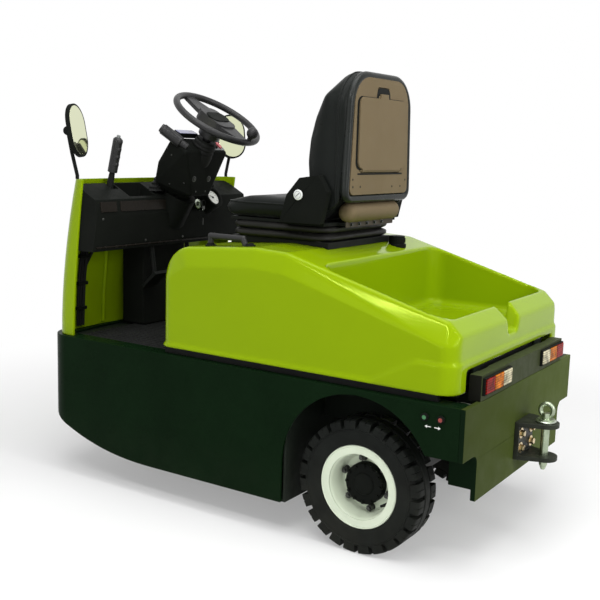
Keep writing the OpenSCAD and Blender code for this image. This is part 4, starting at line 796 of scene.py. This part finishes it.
def inflate(piece, seam, reach):
    """Fills the piece like a cushion: cloth under pressure, held along its seams."""
    start = [v.co.copy() for v in piece.data.vertices]
    normals = [v.normal.copy() for v in piece.data.vertices]
    held = [i for i, co in enumerate(start) if seam(co) < SEAM_HALF]
    piece.vertex_groups.new(name="seams").add(held, 1.0, "REPLACE")
    cloth = piece.modifiers.new("cloth", "CLOTH")
    cloth.settings.vertex_group_mass = "seams"
    cloth.settings.quality = CLOTH_QUALITY
    cloth.settings.mass = CLOTH_MASS
    cloth.settings.use_pressure = True
    cloth.settings.uniform_pressure_force = CLOTH_PRESSURE
    cloth.settings.effector_weights.gravity = 0.0
    cloth.point_cache.frame_end = SOFT_FRAMES
    for number in range(1, SOFT_FRAMES + 1):
        bpy.context.scene.frame_set(number)
    applied(piece)
    bpy.context.scene.frame_set(1)
    for vertex, co, normal in zip(piece.data.vertices, start, normals):
        move = vertex.co - co
        sunk = -move.dot(normal) - SOFT_SINK
        if sunk > 0:
            move += normal * sunk
        if move.length > reach:
            move = move.normalized() * reach
        vertex.co = co + move
    modify(piece, "calm", "SMOOTH", iterations=SOFT_CALM)
    applied(piece)


def upholster(node, seam, reach):
    """A CAD cushion as stuffed vinyl with drawn-in seams."""
    piece = link_piece(node + "_vinyl", nodes[node].data.copy())
    modify(piece, "remesh", "REMESH", mode="VOXEL", voxel_size=VOXEL)
    modify(piece, "soften", "SMOOTH", iterations=SOFT_START)
    modify(piece, "shrink", "DISPLACE", strength=-SOFT_SHRINK, mid_level=0.0)
    applied(piece)
    inflate(piece, seam, reach)
    modify(piece, "round_off", "SUBSURF", levels=1, render_levels=1)
    stand_in(piece, node, "hood", "vinyl")
    return piece


def make_piping(piece, name, middle, across, up):
    """Rolled edge along the seam that runs round a cushion in the plane through middle."""
    tree = tree_of(piece.data)
    path = []
    for t in turns(PIPING_POINTS):
        way = across * cos(t) + up * sin(t)
        path.append(tree.ray_cast(middle + way * PIPING_START, -way)[0])
    Shape().hoop(path, PIPING_R, middle, 10).make(name, "hood", "vinyl")


def make_bellows():
    """Soft pleated skirt between the seat's base and its pan."""
    low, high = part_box("seat_bellows")
    middle = (low + high) / 2
    size = high - low
    outline = even(round_outline(size.x, size.y, BELLOWS_CORNER, 10), BELLOWS_POINTS)
    rows = []
    for i in range(BELLOWS_ROWS + 1):
        t = i / BELLOWS_ROWS
        tuck = BELLOWS_TUCK * (1 - abs(sin(pi * BELLOWS_FOLDS * t))) ** 1.6
        row = []
        for x, y in outline:
            draw = tuck + max(0.0, noise.noise(Vector((x * 9, y * 9, t * 4)))) * BELLOWS_CREASE
            row.append((middle.x + x * (1 - 2 * draw / size.x), middle.y + y * (1 - 2 * draw / size.y),
                        low.z + size.z * t))
        rows.append(row)
    bellows = Shape().grid(rows).make("bellows_folds", "hood", "bellows", "rubber")
    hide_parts("seat_bellows")


def make_seat():
    cushion = upholster("seat_cushion", cushion_seam, CUSHION_REACH)
    middle = Vector((middle_of("seat_cushion").x, 0, CUSHION_SEAM_Z))
    make_piping(cushion, "cushion_piping", middle, X, Y)
    back = upholster("seat_backrest", backrest_seam, BACK_REACH)
    middle = Vector((BACK_SEAM_X, 0, middle_of("seat_backrest").z))
    make_piping(back, "backrest_piping", middle, Y, Z)
    make_bellows()


# Hood

HOOD_VOXEL = 4.2 * MM
HOOD_SOFTEN = 10
HOOD_SHARE = 0.36


def make_hood():
    """The hood as one moulding with soft edges, made over the CAD node."""
    piece = link_piece("hood_moulding", nodes["hood"].data.copy())
    modify(piece, "weld", "WELD", merge_threshold=WELD)
    modify(piece, "remesh", "REMESH", mode="VOXEL", voxel_size=HOOD_VOXEL)
    modify(piece, "soften", "SMOOTH", iterations=HOOD_SOFTEN)
    modify(piece, "thin", "DECIMATE", ratio=HOOD_SHARE)
    applied(piece)
    stand_in(piece, "hood", "hood", "lime")


# Chassis and rear

BUTTONS = {"inch_button_green": (-622, 1), "inch_button_red": (-650, -1)}
BUTTON_RING = [(5.9, 0), (10, 0), (10, 8.4), (9, 9.8), (7, 10), (5.9, 9.4)]
BUTTON_CLEAR = 12
ARROW = [(-9, -1.1), (2, -1.1), (2, -4.2), (9, 0), (2, 4.2), (2, 1.1), (-9, 1.1)]
ARROW_Z = 417
BESIDE = 600
HITCH_BOLT = 17
HITCH_BOLT_TURNS = {-42: -106, 42: 146}
HITCH_BOLT_Z = (285, 328)
JAW_X = -765
PIN_WASHER = [(0, 0), (28, 0), (29.5, 1.5), (29.5, 4), (28, 5.5), (25.5, 6.2), (0, 6.2)]
PIN_GAP = 0.3
APRON_X = -657
APRON_Y = 326
APRON_Z = (478, 583)
APRON_T = 5
APRON_BEADS = (508, 540, 579)
CELLS = (4, 6)
CELL_GAP = 5
CELL_RISE = 9
TRAY_LIP = 14
VENT_CAP = [(0, -1), (15, -1), (15, 3), (13, 5), (7, 6), (6, 9), (0, 9.5)]
POLE = [(0, -1), (9, -1), (9, 4), (6, 8), (0, 8)]
POLE_SHARES = (0.24, 0.3)
LINK = (14, 0.46, 4)


def make_buttons():
    """Arrow under each push button, and a ring round it."""
    arrows = Shape()
    rings = Shape()
    for node, (x, way) in BUTTONS.items():
        arrows.prism(ARROW, 0.5, on_face("chassis_skirt", place(x, BESIDE, ARROW_Z), -Y, X * way))
        middle = middle_of(node)
        beside = Vector((middle.x - BUTTON_CLEAR * MM, BESIDE * MM, middle.z))
        at = on_face("chassis_skirt", beside, -Y)
        at.translation = Vector((middle.x, at.translation.y, middle.z))
        rings.lathe(BUTTON_RING, at, 40)
    arrows.make("button_arrows", "chassis", "white", "cream")
    rings.make("button_rings", "chassis", "black_plastic")


def make_hitch_details():
    """Bolts of the hitch bracket, and the washer under the tow pin's ring."""
    bolts = Shape()
    for y, turn in HITCH_BOLT_TURNS.items():
        for z in HITCH_BOLT_Z:
            bolts.bolt(HITCH_BOLT, turned(on_face("hitch_bracket", place(JAW_X, y, z), X), turn))
    bolts.make("hitch_bolts", "chassis", "yellow_zinc", "steel", 0.5)
    pin = middle_of("tow_pin")
    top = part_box("hitch_bracket")[1].z + PIN_GAP * MM
    Shape().lathe(PIN_WASHER, stand((pin.x, pin.y, top), Z), 48).make("pin_washer", "tow_pin", "steel")


def make_tail_apron():
    """Rubber curtain on the chassis that closes the gap under the hood's tail."""
    wall = Shape()
    tall = APRON_Z[1] - APRON_Z[0]
    outline = [(-APRON_Y, 0), (APRON_Y, 0), (APRON_Y, tall), (-APRON_Y, tall)]
    wall.prism(outline, APRON_T, stand(place(APRON_X, 0, APRON_Z[0]), X, Y), 1.5)
    for z in APRON_BEADS:
        wall.tube([place(APRON_X, APRON_Y, z), place(APRON_X, -APRON_Y, z)], 4)
    wall.make("tail_apron", "chassis", "rubber")


def make_battery_details():
    """Cells, vent caps, poles and link bars on top of the battery."""
    low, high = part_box("battery")
    corner = Matrix.Translation((low.x, low.y, high.z))
    wide = (high.x - low.x) / MM / CELLS[0]
    deep = ((high.y - low.y) / MM - 2 * TRAY_LIP) / CELLS[1]
    pole_x = wide * POLE_SHARES[0]
    pole_y = deep * POLE_SHARES[1]
    cells = Shape()
    caps = Shape()
    links = Shape()
    for i in range(CELLS[0]):
        for k in range(CELLS[1]):
            at = shifted(corner, wide * (i + 0.5), TRAY_LIP + deep * (k + 0.5))
            cells.box((wide - CELL_GAP, deep - CELL_GAP, CELL_RISE), at, 3)
            top = shifted(at, z=CELL_RISE)
            caps.lathe(VENT_CAP, top, 28)
            links.lathe(POLE, shifted(top, pole_x, -pole_y), 20)
            links.lathe(POLE, shifted(top, pole_x, pole_y), 20)
            if k < CELLS[1] - 1:
                links.box((LINK[0], deep * LINK[1], LINK[2]), shifted(top, pole_x, deep / 2, 2), 1)
    cells.make("battery_cells", "chassis", "black_plastic", "battery_case")
    caps.make("battery_caps", "chassis", "cell_cap", "cream")
    links.make("battery_links", "chassis", "rubber")


# Cowl and footwell

FOOTWELL_X = 640
LOOM_Y = 306
LOOM_Z = (770, 720, 660, 600, 545, 490)
LOOM_WIRES = {-9: 6.5, 4: 5.0, 14: 4.0}
LOOM_OFF = 2
LOOM_SWAY = 4 * MM
CLIP_Z = (735, 640, 552)
BRANCH = ((230, 800), (262, 752), (290, 705))
RIB_Y = 188
RIB_Z = (490, 560, 640, 720, 790)


def along_cowl(places, off):
    """Points off the cowl's inner face at places given in Y and Z."""
    hits = [hit("cowl", place(FOOTWELL_X, y, z), X) for y, z in places]
    return [point + normal * off * MM for point, normal in hits]


def make_cowl_details():
    """Wiring loom with clips and a branch, and two ribs, on the cowl's inner face."""
    loom = Shape()
    for offset, radius in LOOM_WIRES.items():
        path = along_cowl([(LOOM_Y + offset, z) for z in LOOM_Z], radius + LOOM_OFF)
        for point, z in zip(path, LOOM_Z):
            point.y += noise.noise(Vector((z * 0.02, offset, 0))) * LOOM_SWAY
        loom.tube(smooth_path(path, 6), radius)
    loom.make("cowl_loom", "chassis", "rubber")
    clips = Shape()
    for z in CLIP_Z:
        clips.prism(round_outline(46, 12, 3), 16, on_face("cowl", place(FOOTWELL_X, LOOM_Y, z), X, Y))
    clips.make("loom_clips", "chassis", "black_plastic", bevel=1.5)
    Shape().tube(smooth_path(along_cowl(BRANCH, 6), 6), 5, 10).make("loom_branch", "chassis", "rubber")
    ribs = Shape()
    for y in (RIB_Y, -RIB_Y):
        ribs.tube(smooth_path(along_cowl([(y, z) for z in RIB_Z], 2), 4), 8, 20)
    ribs.make("cowl_ribs", "chassis", "lime")


# Dash

DASH_SCREW = 9
DASH_SCREWS = ((374, 873), (155, 790), (-43, 790), (-230, 790), (368, 915), (-73, 895))
TRIM_Z = 912
TRIM_TALL = 34
TRIMS = ((178, 226, 3), (346, 74, 4))
HIGHLIGHT_EDGE_Z = 778
HIGHLIGHT_EDGE_Y = range(390, -391, -60)
KNOB_AT = (650, -258, 1200)
KNOB = [(0, 0), (11, 0), (11, 3), (9, 5), (9, 9), (8, 12), (4.5, 14), (0, 14.5)]
GAUGE_BEZEL = [(28, 0.2), (31, 0.2), (31, 3.2), (29.4, 3.6), (28, 2.2)]
TICKS = 13
TICK_FROM = -40
TICK_STEP = 260 / 12
TICK_OUT = 24.5
LONG_TICK = (6, 1.5, 0.35)
SHORT_TICK = (3.5, 0.9, 0.35)
NEEDLE = [(-4, -1.3), (15, -0.5), (18, 0), (15, 0.5), (-4, 1.3)]
NEEDLE_TURN = 148
NEEDLE_HUB = [(0, 0), (4, 0), (4, 2), (3, 2.8), (0, 2.8)]
KEY_BEZEL = [(9, -1.5), (17.5, -1.5), (17.5, 0.2), (15.5, 1.4), (11, 1.6), (9, 0.4)]
KEY_BLADE = (2, 7, 16)
KEY_BOW_T = 3.4
KEY_OUT = 25
TAG_RING = Vector((0.2, 0.35, 1)) * 11 * MM
TAG_LINE = [(-6, 0), (6, 0), (9, 18), (5, 32), (-5, 32), (-9, 18)]
TAG_DROPS = (13, 22, 54, 78)


def make_dash_details():
    """Screws, trim strips, a lighter rod along the lower edge as painted highlight, and knob of the dash."""
    screws = Shape()
    for y, z in DASH_SCREWS:
        screws.screw(DASH_SCREW, on_face("dash", place(AWAY, y, z), X))
    screws.make("dash_screws", "chassis", "dark_steel", "steel", 0.3)
    trim = Shape()
    for y, wide, depth in TRIMS:
        at = on_face("dash", place(AWAY, y, TRIM_Z), X, Y)
        trim.prism(round_outline(wide, TRIM_TALL, 5), depth, at, 1.2)
    # Painted highlight: a lighter rod along the dash's lower edge stands in for the highlight on that edge.
    trim.tube([hit("dash", place(AWAY, y, HIGHLIGHT_EDGE_Z), X)[0] - X * 2 * MM for y in HIGHLIGHT_EDGE_Y], 3)
    trim.make("dash_trim_and_painted_highlight", "chassis", "trim_and_painted_highlight", "black_plastic")
    knob = Shape().lathe(KNOB, on_face("dash", place(*KNOB_AT), -Z), 32)
    knob.make("dash_knob", "chassis", "black_plastic")


def make_gauge():
    """Bezel, ticks and needle of the round meter."""
    middle, normal = flat_face("gauge_dial", (-0.7, 0, 0.7))
    at = stand(middle, normal, -Y)
    Shape().lathe(GAUGE_BEZEL, at, 64).make("gauge_bezel", "chassis", "black_plastic")
    marks = Shape()
    for i in range(TICKS):
        size = SHORT_TICK if i % 3 else LONG_TICK
        marks.box(size, turned(at, TICK_FROM + TICK_STEP * i, TICK_OUT - size[0] / 2))
    marks.prism(NEEDLE, 0.8, turned(at, NEEDLE_TURN, 0, 1.2))
    marks.lathe(NEEDLE_HUB, at, 24)
    marks.make("gauge_marks", "chassis", "black_paint", "black_plastic")


def make_ignition():
    """Bezel, key and tag of the key switch."""
    middle, normal = flat_face("key_switch", (-0.9, 0, 0.3))
    at = stand(middle, normal, Y)
    Shape().lathe(KEY_BEZEL, at, 40).make("key_bezel", "chassis", "steel")
    key = Shape()
    key.box(KEY_BLADE, at, 0.4)
    bow = shifted(at, -KEY_BOW_T / 2, 0, 24) @ Matrix.Rotation(radians(90), 4, "Y")
    key.prism(round_outline(24, 20, 7), KEY_BOW_T, bow, 0.8)
    key.make("ignition_key", "chassis", "black_plastic")
    top = middle + normal * KEY_OUT * MM
    ring_at, tag_at, end, tip = [top - Z * drop * MM for drop in TAG_DROPS]
    tag = Shape()
    path = [ring_at + Vector((sin(t), cos(t), sin(t))) * TAG_RING for t in turns(18)]
    tag.tube(path + path[:2], 0.9, 8)
    tag.prism(TAG_LINE, 3, turned(stand(tag_at, normal, Y), 180), 0.6)
    tag.tube([end, tip], 1.6, 8)
    tag.make("key_tag", "chassis", "dark_steel", "steel")


# Steering column and hand brake

COVER_X = 380
COVER_SCREWS_DEEP = ((50, 1004), (-30, 1004))
COVER_SCREWS = ((30, 960), (-22, 960))
COVER_SIDE_SCREWS = ((527, 1085), (560, 985), (505, 990))
COVER_SIDE_Y = 300
SCREW_RING = [(6.2, -0.5), (10.5, -0.5), (10.5, 1.0), (9.6, 1.5), (7.2, 1.5), (6.2, 0.6)]
SWITCH_AT = (300, -64, 1092)
SWITCH_OFF = (24, 0, 28)
SWITCH_UP = (-0.64, 0, 0.77)
ROCKER = round_outline(34, 15, 3)
ROCKER_RISE = 7
ROCKER_Y = (24, 1)
RED_ROCKER_Y = -23
LAMP_AT = (482, -20, ABOVE)
LAMP_R = 3
DISPLAY_AT = (528, 44, ABOVE)
DISPLAY_UP = (-0.42, 0, 0.9)
DISPLAY_RISE = 8
BOOT_AT = (640, 62, 1100)
BOOT_ROWS = 14
BOOT_WIDE = (30, 18)
BOOT_FOLD = 2.2
BOOT_FOLDS = 4
BOOT_LEAN = (-14, -12, 58)
GAITER = [(36, -90), (38, -92), (40, -97), (38.4, -103), (41.5, -109), (39.4, -116), (43, -123), (41, -130),
          (44.5, -138), (44.5, -215), (36, -215)]
BRAKE_FOOT = place(693, 250, 938)
BRAKE_TOP = place(644, 250, 1137)
BRAKE_WAY = (BRAKE_TOP - BRAKE_FOOT).normalized()
GRIP_LOW = 2
GRIP_LONG = 117
GRIP_BELOW = 118
GRIP_R = 17.2
GRIP_FLAT_SHARE = 0.86
GRIP_FINGER = 1.8
GRIP_FINGERS = 4.5
GRIP_ROWS = 60
SLEEVE_AT = (6, 20, 60, 84, 88)
SLEEVE_RADII = (14, 13.5, 11, 9.5, 7)
BRAKE_BUTTON = [(0, 0), (6.5, 0), (6.5, 8), (5.5, 10), (3, 10.6), (0, 10.8)]


def make_column_screws():
    screws = Shape()
    for y, z in COVER_SCREWS_DEEP:
        at = on_face("column_cover", place(COVER_X, y, z), X)
        screws.lathe(SCREW_RING, at, 32)
        screws.screw(8, at)
    for y, z in COVER_SCREWS:
        screws.screw(6, on_face("column_cover", place(COVER_X, y, z), X))
    for x, z in COVER_SIDE_SCREWS:
        screws.screw(6, on_face("column_cover", place(x, COVER_SIDE_Y, z), -Y))
    screws.make("column_screws", "chassis", "dark_steel", "steel")


def make_switches():
    """Grey plate with two black rockers and a red one, and a small lamp."""
    point = hit("column_cover", place(*SWITCH_AT), X)[0]
    top = stand(point + place(*SWITCH_OFF), SWITCH_UP, X)
    plate = Shape().prism(round_outline(50, 84, 6), 26, shifted(top, z=-24), 1.2)
    plate.make("switch_plate", "chassis", "grey_panel", "black_plastic")
    rockers = Shape()
    for y in ROCKER_Y:
        rockers.prism(ROCKER, ROCKER_RISE, shifted(top, y=y), 2)
    rockers.make("switch_rockers", "chassis", "black_plastic")
    red = Shape().prism(ROCKER, ROCKER_RISE, shifted(top, y=RED_ROCKER_Y), 2)
    red.make("switch_red", "chassis", "pink_key", "button_red")
    at = on_face("column_cover", place(*LAMP_AT), -Z)
    Shape().lathe(arc(0, 0, LAMP_R, -90, 90), at, 16).make("column_lamp", "chassis", "white", "cream")


def make_display():
    point = hit("column_cover", place(*DISPLAY_AT), -Z)[0]
    shelf = stand(point + Z * DISPLAY_RISE * MM, DISPLAY_UP, X)
    Shape().prism(round_outline(32, 104, 8), 16, shelf, 3).make("display_case", "chassis", "black_plastic")
    glass = Shape().prism(round_outline(27, 94, 6), 17, shelf, 2)
    glass.make("display_glass", "chassis", "display", "lens_clear")


def make_column_boot():
    """Pleated boot where the column leaves the dash."""
    low = hit("dash", place(*BOOT_AT), -Z)[0]
    rows = []
    for i in range(BOOT_ROWS + 1):
        t = i / BOOT_ROWS
        wide = BOOT_WIDE[0] + (BOOT_WIDE[1] - BOOT_WIDE[0]) * t + BOOT_FOLD * cos(2 * pi * BOOT_FOLDS * t)
        middle = low + place(*BOOT_LEAN) * t
        rows.append([middle + place(wide * cos(a), wide * 1.1 * sin(a), 0) for a in turns(32)])
    Shape().grid(rows).make("column_boot", "chassis", "rubber")


def make_column_details():
    make_column_screws()
    make_switches()
    make_display()
    make_column_boot()
    axis = Vector(joints["steering_turn"]["axis"])
    gaiter = Shape().lathe(GAITER, stand(joints["steering_turn"]["pos_m"], axis), 48)
    gaiter.make("column_gaiter", "chassis", "rubber")
    middle, normal = flat_face("steering_wheel", axis)
    pad = Shape().prism(round_outline(58, 92, 24, 10), 5, stand(middle, normal, X), 2.2)
    pad.make("wheel_pad", "steering_wheel", "black_plastic")


def make_brake_details():
    """Finger grip, sleeve and push button of the hand brake."""
    at = stand(BRAKE_TOP - BRAKE_WAY * GRIP_BELOW * MM, BRAKE_WAY, -X)
    rows = []
    for i in range(GRIP_ROWS + 1):
        t = i / GRIP_ROWS
        ends = min(1.0, 6 * t + 0.75, 8 * (1 - t) + 0.62)
        wave = GRIP_FINGER * cos(2 * pi * GRIP_FINGERS * t)
        ring = []
        for a in turns(28):
            r = (GRIP_R + wave * max(0.0, cos(a))) * ends
            ring.append(place(r * cos(a), r * GRIP_FLAT_SHARE * sin(a), GRIP_LOW + GRIP_LONG * t))
        rows.append(ring)
    Shape().grid(rows, at=at).make("brake_grip", "chassis", "grip_plastic", "black_plastic")
    path = [BRAKE_FOOT + BRAKE_WAY * d * MM for d in SLEEVE_AT]
    Shape().tube(path, SLEEVE_RADII, 20).make("brake_sleeve", "chassis", "rubber")
    button = Shape().lathe(BRAKE_BUTTON, shifted(at, z=GRIP_LONG), 24)
    button.make("brake_button", "chassis", "grey_panel", "black_plastic")


# Seat trim and deck

BEHIND = -400
PANEL_HOLES = ((170, 1034), (168, 1012), (124, 1012), (-79, 1010), (-135, 1010), (-168, 1030))
PANEL_HOLE = [(0, 0.15), (3.4, 0.15), (3.4, 0.4), (0, 0.4)]
PANEL_SLOT_Z = 1050
PANEL_LOW = (184, 988)
PANEL_HIGH = (170, 1338)
PANEL_CORNER = 84
PANEL_FOOT = 24
BORDER_OUT = 12
BORDER_TOP = 2
BORDER_R = 13
BORDER_X = -209
BORDER_POINTS = 150
SHADE_SHEET_X = -221.1
LATCH = [(-46, -14), (46, -14)] + arc(20, 2, 22, 0, 90) + arc(-20, 2, 22, 90, 180)
LATCH_Z = 1284
LID_GAP_AT = (3, 1170)
TONGUE_AT = (-222, 0, 1277)
RECLINER_AT = (-86, 400, 985)
RECLINER_CAP = [(0, 0), (15.5, 0), (15.5, 2.4), (14, 3.6), (8, 4.2), (0, 4.2)]
CAP_SLOT = (17, 2.6, 0.5)
CAP_RING = [(10.2, 3.6), (11.2, 3.6), (11.2, 4.05), (10.2, 4.2)]
BASE_BOLTS = ((-120, 186), (-120, -186), (150, 186), (150, -186))
BASE_ABOVE = 880
PAN_Z = 897
PAN_BOLT_Y = (120, 72, 24, -24, -72)
FLANGE_RISE = 2.4
HANDLE_X = (20, 168)
HANDLE_Y = 346
HANDLE_ABOVE = 1000
HANDLE_FOOT = [(0, -1), (17, -1), (17, 2), (15, 4), (11.5, 6), (10.2, 9), (0, 9)]
CAP_TEETH = 24
CAP_RADII = (25.2, 26.6)
CAP_TALL = 15


def make_panel_details():
    """Painted shade in the back panel's holes and slot, a dark arch and plate as painted shade behind its
    lid, and the lid's tongue.
    """
    hole_shade = Shape()
    # Painted shade: flat black discs and a strip stand for the shade in the panel's holes and slot.
    for y, z in PANEL_HOLES:
        hole_shade.lathe(PANEL_HOLE, on_face("seat_back_panel", place(BEHIND, y, z), X), 18)
    slot_at = on_face("seat_back_panel", place(BEHIND, 0, PANEL_SLOT_Z), X, Y)
    hole_shade.prism(round_outline(288, 5, 2.4), 0.5, slot_at)
    hole_shade.make("panel_hole_painted_shade", "hood", "black_paint")
    # Painted shade: a dark arch and plate stand for the shade in the latch recess and in the gap round the
    # lid.
    shade_sheets = Shape()
    shade_sheets.prism(LATCH, 0.5, stand(place(SHADE_SHEET_X, 0, LATCH_Z), -X, -Y))
    shade_sheets.prism(round_outline(310, 216, 24), 0.4, stand(place(SHADE_SHEET_X, *LID_GAP_AT), -X, -Y))
    shade_sheets.make("lid_painted_shade", "hood", "black_paint")
    tongue = Shape().prism(round_outline(64, 14, 4), 2, stand(place(*TONGUE_AT), -X, -Y), 0.8)
    tongue.make("lid_tongue", "document_lid", "taupe")


def make_border():
    """Rolled vinyl edge of the backrest round its panel."""
    low_y = PANEL_LOW[0] + BORDER_OUT
    low = PANEL_LOW[1] - BORDER_OUT
    r = PANEL_CORNER + BORDER_OUT
    top = arc(PANEL_HIGH[0] + BORDER_OUT - r, PANEL_HIGH[1] + BORDER_TOP - r, r, 4, 90, 12)
    half = arc(low_y - PANEL_FOOT, low + PANEL_FOOT, PANEL_FOOT, -90, 0, 6) + top
    outline = half + [(-y, z) for y, z in reversed(half)]
    path = [place(BORDER_X, y, z) for y, z in even(outline, BORDER_POINTS)]
    middle = place(BORDER_X, 0, (PANEL_LOW[1] + PANEL_HIGH[1]) / 2)
    border = Shape().hoop(path, BORDER_R, middle, 14)
    border.make("backrest_border", "hood", "gloss_vinyl", "vinyl")


def make_recliner_details():
    """Round caps on the recliners, each with a slot and a ring drawn as grey painted shade."""
    caps = Shape()
    slot_shade = Shape()
    x, y, z = RECLINER_AT
    for side in (1, -1):
        at = on_face("seat_recliners", place(x, y * side, z), -Y * side, X)
        caps.lathe(RECLINER_CAP, at, 40)
        # Painted shade: grey pieces stand for the shade in each cap's engraved slot and ring.
        slot_shade.box(CAP_SLOT, turned(at, 40, 0, 4.1))
        slot_shade.lathe(CAP_RING, at, 40)
    caps.make("recliner_caps", "hood", "white_cap", "cream")
    slot_shade.make("recliner_slot_painted_shade", "hood", "grey_panel", "cream")


def make_seat_details():
    make_panel_details()
    make_border()
    make_recliner_details()
    flange_at = on_face("seat_pan", place(BEHIND, 0, PAN_Z), X, Y)
    flange = Shape().prism(round_outline(300, 17, 3), 2.5, flange_at, 0.8)
    flange.make("pan_flange", "hood", "pan_metal", "taupe")
    bolts = Shape()
    for x, y in BASE_BOLTS:
        bolts.bolt(10, on_face("seat_base", place(x, y, BASE_ABOVE), -Z))
    for y in PAN_BOLT_Y:
        bolts.bolt(8, shifted(on_face("seat_pan", place(BEHIND, y, PAN_Z), X), z=FLANGE_RISE))
    bolts.make("seat_bolts", "hood", "dark_steel", "steel")
    feet = Shape()
    for x in HANDLE_X:
        feet.lathe(HANDLE_FOOT, on_face("hood", place(x, HANDLE_Y, HANDLE_ABOVE), -Z), 36)
    feet.make("handle_feet", "hood", "black_plastic")
    middle, normal = flat_face("deck_cap", Z)
    teeth = [(r * cos(t), r * sin(t)) for t, r in zip(turns(2 * CAP_TEETH), CAP_RADII * CAP_TEETH)]
    ribs = Shape().prism(teeth, CAP_TALL, shifted(stand(middle, normal), z=-CAP_TALL - 0.5), 1.2)
    ribs.make("deck_cap_ribs", "hood", "black_plastic")


# Stage

WORLD_LIGHT = 0.42
FLOOR_REACH = 30.0
FLOOR_FADE = (1.1, 2.6)
FLOOR_LIFT = 0.3
FLOOR_TONES = ((0.84, 0.84, 0.84), (0.87, 0.87, 0.87))
# Name, place, aim, size and power of each lamp
LAMPS = (
    ("top_lamp", (-0.6, 0.5, 4.2), (0, 0, 0.6), (3.0, 3.0), 110),
    ("rear_lamp", (-4.2, 0.6, 2.0), (-0.6, 0, 0.5), (2.4, 2.0), 60),
    ("left_lamp", (0.2, 4.4, 2.1), (0, 0, 0.6), (2.6, 1.6), 14),
    ("low_strip", (-0.5, 3.3, 1.25), (-0.4, 0.4, 0.5), (2.6, 0.05), 6),
    ("strip_lamp", (-0.6, 2.2, 3.0), (-0.2, 0.2, 0.8), (2.6, 0.06), 30),
    ("rear_strip", (-3.0, 0.6, 2.6), (-0.6, 0.1, 0.6), (0.1, 2.2), 18),
)


def seen_white(tree):
    """One on rays that see the background: from the camera, in gloss and through glass."""
    path = tree.nodes.new("ShaderNodeLightPath")
    seen = path.outputs["Is Camera Ray"]
    for name in ("Is Glossy Ray", "Is Transmission Ray"):
        larger = tree.nodes.new("ShaderNodeMath")
        larger.operation = "MAXIMUM"
        tree.links.new(seen, larger.inputs[0])
        tree.links.new(path.outputs[name], larger.inputs[1])
        seen = larger.outputs["Value"]
    return seen


def make_world():
    """White to the camera, and a soft even light on the object."""
    world = bpy.data.worlds.new("studio")
    bpy.context.scene.world = world
    world.use_nodes = True
    tree = world.node_tree
    back = tree.nodes["Background"]
    back.inputs["Color"].default_value = (1, 1, 1, 1)
    level = tree.nodes.new("ShaderNodeMapRange")
    level.inputs["To Min"].default_value = WORLD_LIGHT
    tree.links.new(seen_white(tree), level.inputs["Value"])
    tree.links.new(level.outputs["Result"], back.inputs["Strength"])


def make_floor():
    """Pale floor that keeps the shadow and fades to white away from the object."""
    mesh = bpy.data.meshes.new("floor")
    corners = [(x * FLOOR_REACH, y * FLOOR_REACH, 0) for x, y in ((-1, -1), (1, -1), (1, 1), (-1, 1))]
    mesh.from_pydata(corners, [], [(0, 1, 2, 3)])
    floor = link_piece("floor", mesh)
    floor.location.z = cad_box[0].z
    n = Nodes("pale_floor")
    n.fix(Roughness=0.7, Specular_IOR_Level=0.1)
    n.feed(Base_Color=n.mix(n.noise(3.0, 3.0), *FLOOR_TONES))
    far = n.add("ShaderNodeVectorMath", operation="LENGTH")
    n.link(n.place, far.inputs[0])
    fade = n.span(far.outputs["Value"], *FLOOR_FADE, FLOOR_LIFT, 1)
    fade.node.interpolation_type = "SMOOTHSTEP"
    blend = n.add("ShaderNodeMixShader")
    n.link(n.reckon("MULTIPLY", fade, seen_white(n.tree)), blend.inputs["Fac"])
    n.link(n.shader.outputs["BSDF"], blend.inputs[1])
    n.link(n.add("ShaderNodeEmission").outputs["Emission"], blend.inputs[2])
    n.link(blend.outputs["Shader"], n.tree.nodes["Material Output"].inputs["Surface"])
    mesh.materials.append(n.material)


def make_lamps():
    for name, at, aim, size, power in LAMPS:
        data = bpy.data.lights.new(name, "AREA")
        data.shape = "RECTANGLE"
        data.size, data.size_y = size
        data.energy = power
        lamp = bpy.data.objects.new(name, data)
        lamp.location = at
        lamp.rotation_euler = (Vector(aim) - Vector(at)).to_track_quat("-Z", "Y").to_euler()
        bpy.context.scene.collection.objects.link(lamp)


bpy.context.scene.view_settings.view_transform = "Standard"
make_camera()
make_world()
make_floor()
make_lamps()
dress_nodes()
make_wheels()
make_hood()
make_seat()
make_buttons()
make_hitch_details()
make_tail_apron()
make_battery_details()
make_cowl_details()
make_dash_details()
make_gauge()
make_ignition()
make_column_details()
make_brake_details()
make_seat_details()
